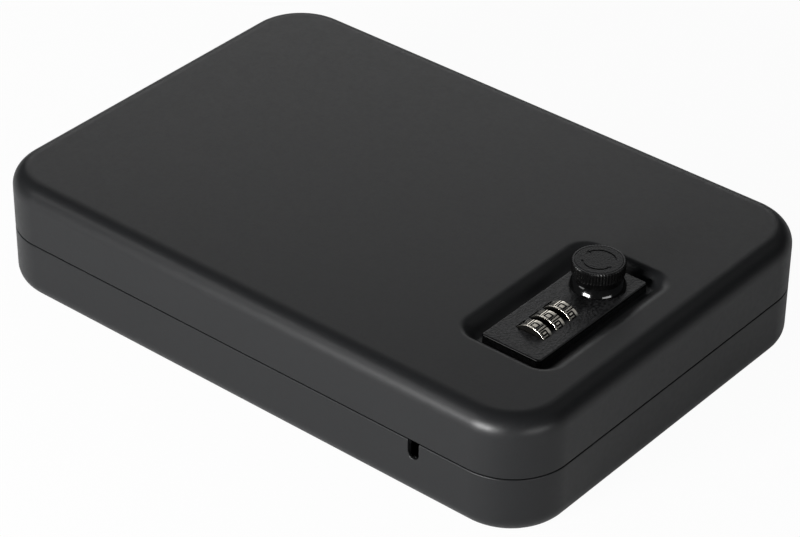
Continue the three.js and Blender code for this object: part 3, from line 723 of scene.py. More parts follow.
def refined_copy(name: str, node: str, width: float) -> bpy.types.Object:
    """Copy a CAD node, weld its loose triangles, join its flat faces and break its edges.

    Args:
        name: the new piece's name.
        node: the CAD node.
        width: the broken edge's width in millimetres.

    Returns:
        The new piece.
    """
    made = bpy.data.objects.new(name, frame["nodes"][node].data.copy())
    bpy.context.scene.collection.objects.link(made)
    made.modifiers.new("weld", "WELD").merge_threshold = WELD_GAP * MM
    flat = made.modifiers.new("flat", "DECIMATE")
    flat.decimate_type = "DISSOLVE"
    flat.angle_limit = math.radians(FLAT_ANGLE)
    settle(made)
    finish_edges(made, width)
    return made


def finish_node(node: str, finish: Finish) -> None:
    """Give a CAD node that stays a better material.

    Args:
        node: its name.
        finish: its finish.
    """
    mesh = frame["nodes"][node].data
    mesh.materials.clear()
    mesh.materials.append(finish.material())
    LOG.info("%s keeps its CAD shape", node)


def node_box(node: str) -> tuple[np.ndarray, np.ndarray]:
    """Return the lowest and highest corners of a CAD node at rest, in millimetres."""
    low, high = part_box(node)
    return np.array(low) / MM, np.array(high) / MM


def node_outline(node: str, corner: float) -> Outline:
    """Return the rounded rectangle that a CAD node fills, seen from above."""
    low, high = node_box(node)
    return Outline(*(low + high)[:2] / 2, *(high - low)[:2] / 2, corner)


def joint_place(name: str) -> np.ndarray:
    """Return a joint's place in millimetres."""
    joint = next(row for row in frame["joints"] if row["name"] == name)
    return np.array(joint["pos_m"]) / MM


# The case

@dataclass(frozen=True)
class Case:
    """The two pressed halves, the strip inside the rim, and the strike bracket."""

    corner: float = 22.4
    top_fillet: float = 6.8
    bottom_fillet: float = 7.0
    sheet: float = 1.2
    edge_round: float = 0.35
    support: float = 0.6
    base_edges: float = 0.3
    lid_edges: float = 0.25
    recess_depth: float = 4.5
    recess_margin: tuple[float, float] = (6.4, 9.0)
    recess_floor_margin: float = 0.8
    recess_corner: float = 9.0
    slope_shares: tuple[float, float] = (0.3, 0.5)
    slope_steps: int = 24
    rim_steps: int = 4
    notch_width: float = 4.5
    notch_depth: float = 6.9
    notch_y: float = -75.25
    barrel_radius: float = 2.5
    barrel_gap: float = 0.3
    neck_x: float = -23.6
    neck_half: tuple[float, float] = (14.05, 9.2)
    neck_corner: float = 0.9
    shaft_way: float = 4.0
    post_way: float = 2.2
    post_inset: float = 4.0
    lip_sheet: float = 0.8
    lip_edges: float = 0.12
    lip_way: float = 4.4
    # The strip's inset from the case's side, and its height over the base's rim
    lip_joggle: tuple[tuple[float, float], ...] = ((1.2, -1.2), (1.3, -0.6), (1.5, -0.2), (1.6, 0.2))
    strike_edges: float = 0.15
    overrun: float = 2.0

    @property
    def outline(self) -> Outline:
        """The case seen from above."""
        high = node_box("base_shell")[1]
        return Outline(0, 0, high[0], high[1], self.corner)

    @property
    def rim_height(self) -> float:
        """The height of the base's rim."""
        return node_box("base_shell")[1][2]

    def fillet(self, inset: float, radius: float, flat: float, up: int) -> list[np.ndarray]:
        """Return rings of a pan's pressed corner from its flat to its wall.

        Each ring is the case's outline drawn in by the quarter circle's inward share of the radius, at its
        height share. A ring inside the flat and one up the wall keep both shaded flat.

        Args:
            inset: how deep below the outer face the skin lies.
            radius: the outer radius.
            flat: the height of the outer flat.
            up: 1 where the wall rises from the flat, -1 where it hangs.

        Returns:
            The rings.
        """
        own = radius - inset
        shares = quarter_turn()
        shifts = np.concatenate([[-inset - own - self.support], -inset - own * shares[:, 0], [-inset]])
        rises = inset + np.concatenate([[0], own * shares[:, 1], [own + self.support]])
        outline = self.outline
        return [outline.grown(s).ring(flat + up * r) for s, r in zip(shifts, rises)]

    def rim(self, height: float, up: int) -> list[np.ndarray]:
        """Return rings over a wall's open edge, rounded outside and in by quarter circles.

        Args:
            height: the edge's height.
            up: 1 where the wall rises to it, -1 where it hangs.

        Returns:
            The rings, from the outer face to the inner one.
        """
        outline = self.outline
        r = self.edge_round
        rounded = [(-r * side, r * drop) for drop, side in quarter_turn(self.rim_steps)]
        outer = [(0, r + self.support), *rounded]
        inner = [(-self.sheet - shift, drop) for shift, drop in outer[::-1]]
        return [outline.grown(shift).ring(height - up * drop) for shift, drop in outer + inner]

    def slope(self, below: float) -> list[np.ndarray]:
        """Return rings of the recess's slope, from its floor to the lid's level top.

        The slope is a cubic curve that leaves the floor level and meets the top level. A skin below the
        outer face is shifted along the curve's normal. A ring inside the floor and one outside the slope
        keep both shaded flat.

        Args:
            below: how far below the outer face the skin lies.

        Returns:
            The rings.
        """
        foot, brow = self.slope_shares
        t = np.linspace(0, 1, self.slope_steps + 1)
        run = 3 * (1 - t) ** 2 * t * foot + 3 * (1 - t) * t ** 2 * (1 - brow) + t ** 3
        rise = 3 * (1 - t) * t ** 2 + t ** 3
        margin = self.recess_floor_margin
        run_x, run_y = np.array(self.recess_margin) - margin
        along = np.gradient(run, t) * (run_x + run_y) / 2
        upward = np.gradient(rise, t) * self.recess_depth
        size = np.hypot(along, upward)
        out, drop = below * upward / size, below * along / size
        plate = node_outline("lock_plate", PLATE_CORNER)
        top = node_box("lid_shell")[1][2]
        floor = top - self.recess_depth
        first = plate.corner + margin
        corners = first + (self.recess_corner - first) * run + out
        rows = [(margin - self.support, margin - self.support, first - self.support, floor - below)]
        heights = floor + self.recess_depth * rise - drop
        rows += zip(margin + run_x * run + out, margin + run_y * run + out, corners, heights)
        rows.append((
            self.recess_margin[0] + out[-1] + self.support, self.recess_margin[1] + out[-1] + self.support,
            corners[-1] + self.support, top - below,
        ))
        return [plate.grown(out_x, out_y, corner).ring(z) for out_x, out_y, corner, z in rows]

    def hinge_relief(self, up: int) -> Solid:
        """Return the cutter that leaves room for the hinge's barrel in a rear wall.

        Args:
            up: 1 for the lid's wall, -1 for the base's.

        Returns:
            The cutter.
        """
        axis = joint_place("lid_hinge")
        low, high = node_box("hinge_pin")
        gap, rear = self.barrel_gap, self.outline.half_y
        ends = sorted([axis[2] - up * self.overrun, axis[2] + up * (self.barrel_radius + gap)])
        return block(
            (low[0] - gap, rear - self.sheet - self.overrun, ends[0]),
            (high[0] + gap, rear + self.overrun, ends[1]),
        )

    def floor_cutters(self, floor: float) -> list[Solid]:
        """Return the cutters of the recess floor: the dials' neck, the knob's shaft and four posts.

        Args:
            floor: the floor's height.

        Returns:
            The cutters.
        """
        below, above = floor - self.sheet - self.overrun, floor + self.overrun
        x, y, _ = joint_place("knob_turn")
        plate = node_outline("lock_plate", PLATE_CORNER)
        neck = Outline(self.neck_x, plate.y, *self.neck_half, self.neck_corner)
        shaft = post(self.shaft_way, below, above, x, y)
        return [loft([neck.ring(below), neck.ring(above)]), shaft,
                *plate.posts(self.post_inset, self.post_way, below, above)]

    def base_shell(self) -> bpy.types.Object:
        """Make the lower pan with the cable notch and the gap for the hinge.

        Returns:
            The piece.
        """
        rim = self.rim_height
        outer = self.fillet(0, self.bottom_fillet, 0, 1)
        inner = self.fillet(self.sheet, self.bottom_fillet, 0, 1)[::-1]
        made = mesh_object("base_pan", loft([*outer, *self.rim(rim, 1), *inner]))
        half, above = self.notch_width / 2, rim + self.overrun
        round_end = arc(self.notch_y, rim - self.notch_depth + half, half, 180, 360)
        section = np.vstack([[self.notch_y - half, above], round_end, [self.notch_y + half, above]])
        wall = -self.outline.half_x
        notch = along_x(section, wall - self.overrun, wall + self.sheet + self.overrun)
        work(made, Join.CUT, notch, self.hinge_relief(-1))
        finish_edges(made, self.base_edges, CREASE)
        return dress(made, POWDER, "base", "powder_coat", "base_shell")

    def lid_shell(self) -> bpy.types.Object:
        """Make the lid with its formed recess, and the holes under the lock plate.

        Returns:
            The piece.
        """
        low, high = node_box("lid_shell")
        made = mesh_object("lid_pan", loft([
            *self.slope(self.sheet),
            *self.fillet(self.sheet, self.top_fillet, high[2], -1),
            *self.rim(low[2], -1)[::-1],
            *self.fillet(0, self.top_fillet, high[2], -1)[::-1],
            *self.slope(0)[::-1],
        ]))
        work(made, Join.CUT, self.hinge_relief(1), *self.floor_cutters(high[2] - self.recess_depth))
        finish_edges(made, self.lid_edges, CREASE)
        return dress(made, POWDER, "lid", "powder_coat", "lid_shell")

    def rim_lip(self) -> bpy.types.Object:
        """Make the joggled strip that is welded inside the base's rim.

        Returns:
            The piece.
        """
        low, high = node_box("base_rim_lip")
        rim, outline = self.rim_height, self.outline
        step = [(inset, rim + z) for inset, z in self.lip_joggle]
        face = [(step[0][0], low[2]), *step, (step[-1][0], high[2])]
        back = [(inset + self.lip_sheet, z) for inset, z in face][::-1]
        made = mesh_object("rim_strip", loft([outline.grown(-i).ring(z) for i, z in face + back], loop=True))
        left, half, above = -outline.half_x, self.notch_width / 2, high[2] + self.overrun
        rear = block((left, high[1], low[2] - self.overrun), (outline.half_x, outline.half_y, above))
        way = block(
            (left, self.notch_y - half, rim - self.notch_depth),
            (left + self.lip_way, self.notch_y + half, above),
        )
        work(made, Join.CUT, rear, way)
        finish_edges(made, self.lip_edges)
        return dress(made, POWDER, "base", "powder_coat", "base_rim_lip")

    def strike(self) -> bpy.types.Object:
        """Make the bent bracket that the cam turns under."""
        made = refined_copy("strike_hook", "strike_bracket", self.strike_edges)
        return dress(made, ZINC_PLATE, "base", "zinc_steel", "strike_bracket")


class HingeSide(Enum):
    """The two halves of the hinge: body, direction of the leaf and first knuckle."""

    BASE = ("base", -1, 0)
    LID = ("lid", 1, 1)


@dataclass(frozen=True)
class Hinge:
    """The piano hinge on the rear wall: two leaves with rolled knuckles, and the pin through them."""

    radius: float = 2.5
    roll: float = 2.43
    leaf: float = 1.0
    pin_radius: float = 1.25
    pin_dome: float = 0.6
    gap: float = 0.3
    count: int = 9
    edges: float = 0.12
    roll_steps: int = 40
    dome_steps: int = 6
    pin_steps: int = 32

    def half(self, side: HingeSide) -> bpy.types.Object:
        """Make one leaf and its knuckles.

        A knuckle's section is the leaf's strip with its end rolled into a circle: up the outer face, round
        the circle, and back to where the circle meets the leaf's inner face.

        Args:
            side: which half.

        Returns:
            The piece.
        """
        body, up, first = side.value
        node = f"{body}_hinge_leaf"
        low, high = node_box(node)
        axis = joint_place("lid_hinge")
        end = node_box("base_hinge_leaf")[1][0]
        pitch = 2 * end / self.count
        height = axis[2] - low[2] if up < 0 else high[2] - axis[2]
        inner = self.leaf - self.radius
        meet = math.degrees(math.acos(inner / self.roll))
        circle = arc(0, 0, self.roll, 180, -meet, self.roll_steps)
        section = np.vstack([[-self.radius, -height], circle, [inner, -height]]) * np.array([1, -up])
        z_leaf = sorted([up * (self.radius + self.gap), up * height])
        made = mesh_object(f"{body}_leaf", block((-end, -self.radius, z_leaf[0]), (end, inner, z_leaf[1])))
        for i in range(first, self.count, 2):
            low_x = i * pitch - end + (self.gap / 2 if i > 0 else 0)
            high_x = (i + 1) * pitch - end - (self.gap / 2 if i < self.count - 1 else 0)
            work(made, Join.ADD, along_x(section[::-1] if up < 0 else section, low_x, high_x))
        work(made, Join.CUT, rod(self.radius - self.leaf, -end - OVERRUN, end + OVERRUN))
        made.data.transform(Matrix.Translation((0, axis[1] * MM, axis[2] * MM)))
        finish_edges(made, self.edges)
        return dress(made, POWDER, body, "powder_coat", node)

    def pin(self) -> bpy.types.Object:
        """Make the pin with its two peened ends.

        Returns:
            The piece.
        """
        low, high = node_box("hinge_pin")
        _, y, z = joint_place("lid_hinge")
        inward, rise = (quarter_turn(self.dome_steps) * np.array([self.pin_radius, self.pin_dome])).T
        start = np.column_stack([self.pin_radius - inward, low[0] + rise])
        end = np.column_stack([self.pin_radius - inward, high[0] - rise])[::-1]
        turned = revolved(np.vstack([start, end]), self.pin_steps).turned("Y", 90)
        made = mesh_object("hinge_rod", turned.moved(0, y, z))
        finish_edges(made)
        return dress(made, ZINC_PLATE, "base", "zinc_steel", "hinge_pin")


@dataclass(frozen=True)
class FoamLining:
    """The foam sheets in base and lid: cut edges, a soft crown and a slightly uneven face."""

    edge: float = 1.6
    crown: float = 0.35
    crown_fall: float = 9.0
    waviness: float = 0.12
    wave_lengths: tuple[float, float, float] = (11.0, 13.0, 7.3)
    wave_start: float = 1.0
    short_share: float = 0.5
    wave_drop: float = 1.0
    wavy_share: float = 0.2
    corner: float = 20.0
    least_corner: float = 2.0
    side_round: float = 4.0
    side_share: float = 0.6
    first_inset: float = 2.5
    middle_strip: float = 6.0
    face_steps: int = 26
    side_steps: int = 6
    edge_steps: int = 5

    def pad(self, name: str, node: str, body: str, up: int) -> bpy.types.Object:
        """Make one sheet inside its CAD solid's box.

        The face is a stack of outlines drawn in step by step. Its height is the box's face less a crown
        that falls towards the edge, and a slow wave of three sines stands for the cut's unevenness.

        Args:
            name: the piece's name.
            node: the CAD node that it stands for.
            body: the body that carries it.
            up: 1 where the free face looks up, -1 where it looks down.

        Returns:
            The piece.
        """
        low, high = node_box(node)
        outline = node_outline(node, self.corner)
        back, thickness = (low[2] if up > 0 else high[2]), high[2] - low[2]
        rise = thickness * self.side_share
        side = [(-self.side_round * a, rise * b) for a, b in quarter_turn(self.side_steps)]
        brow = thickness - self.crown
        rounded = [(-self.edge * a, brow - self.edge * b) for b, a in quarter_turn(self.edge_steps)]
        last = min(outline.half_x, outline.half_y) - self.middle_strip
        insets = np.geomspace(self.first_inset, last, self.face_steps)
        fall = self.crown * np.exp(-(insets - self.edge) / self.crown_fall)
        rows = np.array([
            outline.grown(shift, corner=max(self.corner + shift, self.least_corner)).ring(back + up * height)
            for shift, height in [*side, *rounded, *zip(-insets, thickness - fall)]
        ])
        x, y = rows[..., 0], rows[..., 1]
        long, wide, short = self.wave_lengths
        wave = np.sin(x / long + self.wave_start) * np.sin(y / wide) - self.wave_drop
        wave += self.short_share * np.sin((x + y) / short)
        depth = np.abs(rows[..., 2] - back) / thickness
        rows[..., 2] += up * self.waviness * wave * np.clip((depth - 1) / self.wavy_share + 1, 0, 1)
        made = mesh_object(name, loft(rows if up > 0 else rows[:, ::-1]))
        made.data.shade_smooth()
        dress(made, FOAM, body, "foam", node)
        return made


# The lock

@dataclass(frozen=True)
class PanHeadScrew:
    """A screw with a domed head and a cross recess, whose head looks down."""

    head: float = 2.2
    tall: float = 1.2
    dome: float = 0.9
    shank: float = 0.95
    tip: float = 0.5
    cross_half: tuple[float, float] = (1.35, 0.3)
    cross_depth: float = 0.7
    edges: float = 0.05
    dome_steps: int = 8
    head_steps: int = 48

    def place(self, number: int) -> bpy.types.Object:
        """Make one of the cover's screws.

        Args:
            number: which screw.

        Returns:
            The piece.
        """
        node = f"cover_screw_{number}"
        middle = node_outline(node, 0)
        x, y = middle.x, middle.y
        (_, _, low), (_, _, high) = node_box(node)
        dome = quarter_turn(self.dome_steps) * np.array([-self.dome, self.dome])
        crown = dome + np.array([self.head, low])
        profile = np.vstack([
            [0, low], crown, [self.head, low + self.tall], [self.shank, low + self.tall],
            [self.shank, high - self.tip], [self.tip, high], [0, high],
        ])
        made = mesh_object(f"cross_screw_{number}", revolved(profile, self.head_steps).moved(x, y))
        bottom = low + self.cross_depth
        for a, b in (self.cross_half, self.cross_half[::-1]):
            work(made, Join.CUT, block((x - a, y - b, low - OVERRUN), (x + a, y + b, bottom)))
        finish_edges(made, self.edges)
        return dress(made, ZINC_PLATE, "lid", "zinc_steel", node)


@dataclass(frozen=True)
class Lock:
    """The die-cast face plate with three windows, and the plain parts of the lock behind it."""

    thickness: float = 3.0
    edge: float = 0.65
    flat_inset: float = 0.3
    flat_corner: float = 0.4
    window_gap: float = 0.3
    dial_radius: float = 7.6
    dial_width: float = 4.7
    post_radius: float = 1.9
    post_inset: float = 4.0
    screw_hole: float = 1.2
    edges: float = 0.1
    edges_from: float = 40.0
    sheet_edges: float = 0.15
    cast_edges: float = 0.2
    edge_steps: int = 8
    window_steps: int = 128
    # The turned edge is where a face's normal has less height than this
    level_share: float = 0.96

    def plate(self) -> bpy.types.Object:
        """Make the plate: its upper edge is a quarter round, and the dials' own radius cuts the windows.

        Returns:
            The piece.
        """
        (_, _, low), (_, _, high) = node_box("lock_plate")
        floor = high - self.thickness
        outline = node_outline("lock_plate", PLATE_CORNER)
        round_edge = self.edge * quarter_turn(self.edge_steps)[::-1]
        edge = [outline.grown(-inward).ring(high - drop) for inward, drop in round_edge]
        top = outline.grown(-self.edge - self.flat_inset, corner=self.flat_corner).ring(high)
        made = mesh_object("face_plate", loft([outline.ring(floor), *edge, top]))
        posts = outline.posts(self.post_inset, self.post_radius, low, floor + OVERRUN)
        holes = outline.posts(self.post_inset, self.screw_hole, low - OVERRUN, floor)
        for column, hole in zip(posts, holes):
            work(made, Join.ADD, column)
            work(made, Join.CUT, hole)
        reach = self.dial_width / 2 + self.window_gap
        for i in range(3):
            x, y, z = joint_place(f"dial_{i + 1}_turn")
            radius = self.dial_radius + self.window_gap
            work(made, Join.CUT, rod(radius, x - reach, x + reach, y, z, self.window_steps))
        x, y, z = joint_place("knob_turn")
        work(made, Join.CUT, post(SHAFT_HOLE, floor - OVERRUN, z + OVERRUN, x, y))
        finish_edges(made, self.edges, self.edges_from)
        dress(made, CASTING, "lid", "lock_black", "lock_plate")
        centres, normals = face_table(made)
        also_finish(made, GLOSS, (centres[:, 2] > high - self.edge) & (normals[:, 2] < self.level_share))
        return made

    def works(self) -> None:
        """Dress the cover, casting, lever, screws and the sealed inner parts."""
        for name, node, finish, body, slot, edges in (
            ("cover_plate", "lock_cover", ZINC_PLATE, "lid", "zinc_steel", self.sheet_edges),
            ("lock_casting", "lock_body", DIE_CAST, "lid", "zinc_casting", self.cast_edges),
            ("code_slider", "code_change_lever", BRASS, "code_lever", "brass", self.sheet_edges),
        ):
            dress(refined_copy(name, node, edges), finish, body, slot, node)
        for number in (1, 2, 3, 4):
            PanHeadScrew().place(number)
        for node in ("dial_spindle", "fence_comb", "detent_spring"):
            finish_node(node, SPRING)
        for number in (1, 2, 3):
            finish_node(f"code_hub_{number}", BRASS)


@dataclass(frozen=True)
class Dial:
    """A number wheel: a rim at its left edge, ten fields between ribs, and ten black digits."""

    radius: float = 7.6
    width: float = 4.7
    bore: float = 3.15
    digits: int = 10
    field_steps: int = 72
    rest: float = 3.0
    line_at: float = 14.2
    line_half: float = 1.9
    line_depth: float = 0.36
    field_depth: float = 0.09
    field_ease: float = 0.4
    rim: float = 0.6
    rim_rise: float = 0.05
    rim_round: float = 0.18
    ease: float = 0.12
    rim_steps: int = 6
    # Past the rim a groove falls and rises: places from the rim, drops, and shares of the depth
    groove: tuple[tuple[float, float, float], ...] = ((0.08, 0.2, 0), (0.2, 0.2, 0.6), (0.28, 0.05, 1))
    # The right end: places from the right face, drops, and shares of the depth
    right_end: tuple[tuple[float, float, float], ...] = (
        (0.45, 0, 1), (0.3, 0, 0.95), (0.12, 0.02, 0.9), (0.036, 0.036, 0.9), (0, 0.12, 0.9),
    )
    # Each side face's steps: inset from the face and radius over the bore
    face_steps: tuple[tuple[float, float], ...] = ((0, 1.2), (0.25, 1.0), (0.25, 0.1), (0.35, 0))
    # A side face's normal points along the axle by more than this
    side_lean: float = 0.95
    digit_half: tuple[float, float] = (1.1, 1.14)
    digit_x: float = -0.3
    digit_ease: float = 0.18
    stroke: float = 0.62
    fill: tuple[float, float] = (0.03, -0.1)

    def from_middle(self, angle: np.ndarray) -> np.ndarray:
        """Return how many degrees each angle, in radians, lies from the middle of its field."""
        pitch = 360 / self.digits
        return np.abs((np.degrees(angle) + self.rest + pitch / 2) % pitch - pitch / 2)

    def wheel(self, number: int) -> bpy.types.Object:
        """Make one wheel.

        The radius at angle a and place x is the full radius less a depth. The depth is even in the field,
        a round-bottomed line at its end, and nothing on the rib past it. The rim's mask takes it away at
        the left edge. The side faces and the lines' bottoms are painted black as painted shade.

        Args:
            number: which dial.

        Returns:
            The piece.
        """
        steps = self.field_steps * self.digits
        angle = np.arange(steps) * TURN / steps
        away = self.from_middle(angle)
        field = self.field_depth * np.clip((self.line_at - away) / self.field_ease + 0.5, 0, 1)
        line = self.line_depth * np.clip(1 - ((away - self.line_at) / self.line_half) ** 2, 0, 1)
        half, rise = self.width / 2, -self.rim_rise
        left = self.rim - half
        turned = quarter_turn(self.rim_steps)[::-1, 1] * self.rim_round
        # Each row: place along the axle, drop from the full radius, share of the depth
        places, drops, shares = np.array([
            *zip(turned[::-1] - half, rise + turned, np.zeros(len(turned))),
            (left - self.ease, rise, 0), (left, 0, 0),
            *((left + way, drop, share) for way, drop, share in self.groove),
            *((half - way, drop, share) for way, drop, share in self.right_end),
        ]).T[:, :, None]
        outer = about_x(places, self.radius - drops - shares * np.maximum(field, line), angle)
        inner = [(half - way, self.bore + over) for way, over in self.face_steps]
        inner += [(-x, radius) for x, radius in inner[::-1]]
        hub = [about_x(x, radius, angle) for x, radius in inner]
        place = joint_place(f"dial_{number}_turn")
        solid = loft([ring[::-1] for ring in [*outer, *hub]], loop=True).moved(*place)
        made = mesh_object(f"number_wheel_{number}", solid)
        smooth(made)
        dress(made, NICKEL, f"dial_{number}", "nickel", f"dial_wheel_{number}")
        centres, normals = face_table(made)
        x, y, z = (centres - place).T
        off_line = np.abs(self.from_middle(np.arctan2(y, z)) - self.line_at)
        shaded_lines = (off_line < self.line_half) & (x > left + self.rim_rise)
        # Painted shade: the side faces and the lines' bottoms are made black where they lie in shade
        also_finish(made, PAINTED_SHADE_BLACK, (np.abs(normals[:, 0]) > self.side_lean) | shaded_lines)
        return made

    def numerals(self, number: int) -> bpy.types.Object:
        """Make the ten filled digits of one wheel, each wrapped on its field.

        A digit is drawn on a unit cell. Its x becomes the place along the axle, and its height divided by
        the radius becomes the angle.

        Args:
            number: which dial.

        Returns:
            The piece.
        """
        face = self.radius - self.field_depth
        over, under = self.fill
        levels = face + np.array([over, over, under, under])
        parts = []
        for digit, strokes in DIGIT_STROKES.items():
            centre = math.radians(digit * 360 / self.digits - self.rest)
            for closed, corners in strokes:
                drawn = np.array(corners, float) * np.array(self.digit_half)
                path = rounded_path(drawn, closed, self.digit_ease)
                left, right = ribbon(path, self.stroke / 2, closed)
                edges = np.stack([left, right, right, left], 1)
                band = about_x(edges[..., 0] + self.digit_x, levels, centre + edges[..., 1] / face)
                parts.append(loft(band[:, ::-1], loop=closed))
        place = joint_place(f"dial_{number}_turn")
        made = mesh_object(f"dial_digits_{number}", parts[0].with_others(*parts[1:]).moved(*place))
        return dress(made, FILL, f"dial_{number}", "lock_black")


# Each digit's strokes on a cell from -1 to 1: whether a stroke is closed, and its corners
DIGIT_STROKES = {
    0: [(True, [(-1, -1), (1, -1), (1, 1), (-1, 1)])],
    1: [(False, [(-0.55, 0.55), (0.1, 1), (0.1, -1)])],
    2: [(False, [(-1, 0.55), (-1, 1), (1, 1), (1, 0.05), (-1, -0.25), (-1, -1), (1, -1)])],
    3: [
        (False, [(-1, 1), (1, 1), (1, 0.02), (-0.3, 0.02)]),
        (False, [(-0.3, 0.02), (1, 0.02), (1, -1), (-1, -1)]),
    ],
    4: [(False, [(0.55, -1), (0.55, 1), (-1, -0.35), (1, -0.35)])],
    5: [(False, [(1, 1), (-0.9, 1), (-0.9, 0.1), (1, 0.1), (1, -1), (-1, -1)])],
    6: [(False, [(0.9, 1), (-1, 1), (-1, -1), (1, -1), (1, 0.08), (-1, 0.08)])],
    7: [(False, [(-1, 1), (1, 1), (-0.25, -1)])],
    8: [(True, [(-1, -1), (1, -1), (1, 0), (-1, 0)]), (True, [(-0.9, 0), (0.9, 0), (0.9, 1), (-0.9, 1)])],
    9: [(False, [(-0.9, -1), (1, -1), (1, 1), (-1, 1), (-1, -0.08), (1, -0.08)])],
}


def rounded_path(corners: np.ndarray, closed: bool, ease: float, steps: int = 5,
                 spacing: float = 0.12) -> np.ndarray:
    """Round a path's corners: each becomes the parabola between points a set way before and after it.

    The whole path is then cut into even steps, so that it can be wrapped on a wheel.

    Args:
        corners: the path's corner points.
        closed: whether the last joins the first.
        ease: how far from a corner its curve starts.
        steps: how many points a curve has.
        spacing: the step's length.

    Returns:
        The path's points.
    """
    to_before, to_after = (np.roll(corners, shift, 0) - corners for shift in (1, -1))
    first = corners + ease * to_before / np.linalg.norm(to_before, axis=1, keepdims=True)
    last = corners + ease * to_after / np.linalg.norm(to_after, axis=1, keepdims=True)
    t = np.linspace(0, 1, steps)[:, None, None]
    curves = ((1 - t) ** 2 * first + 2 * t * (1 - t) * corners + t ** 2 * last).transpose(1, 0, 2)
    if closed:
        points = np.vstack([curves.reshape(-1, 2), curves[:1, 0]])
    else:
        points = np.vstack([corners[:1], curves[1:-1].reshape(-1, 2), corners[-1:]])
    way = np.concatenate([[0], np.cumsum(np.linalg.norm(np.diff(points, axis=0), axis=1))])
    places = np.linspace(0, way[-1], max(2, round(way[-1] / spacing)) + 1)
    points = np.column_stack([np.interp(places, way, points[:, 0]), np.interp(places, way, points[:, 1])])
    return points[:-1] if closed else points


def ribbon(path: np.ndarray, half: float, closed: bool) -> tuple[np.ndarray, np.ndarray]:
    """Offset a path to both sides, along the normal of the line between each point's neighbours.

    Args:
        path: the path's points.
        half: how far each edge lies from it.
        closed: whether the last point joins the first.

    Returns:
        The left edge and the right one.
    """
    if closed:
        ahead, behind = np.roll(path, -1, 0), np.roll(path, 1, 0)
    else:
        ahead, behind = np.vstack([path[1:], path[-1:]]), np.vstack([path[:1], path[:-1]])
    along = ahead - behind
    along = along / np.linalg.norm(along, axis=1, keepdims=True)
    normal = np.column_stack([-along[:, 1], along[:, 0]])
    return path + normal * half, path - normal * half


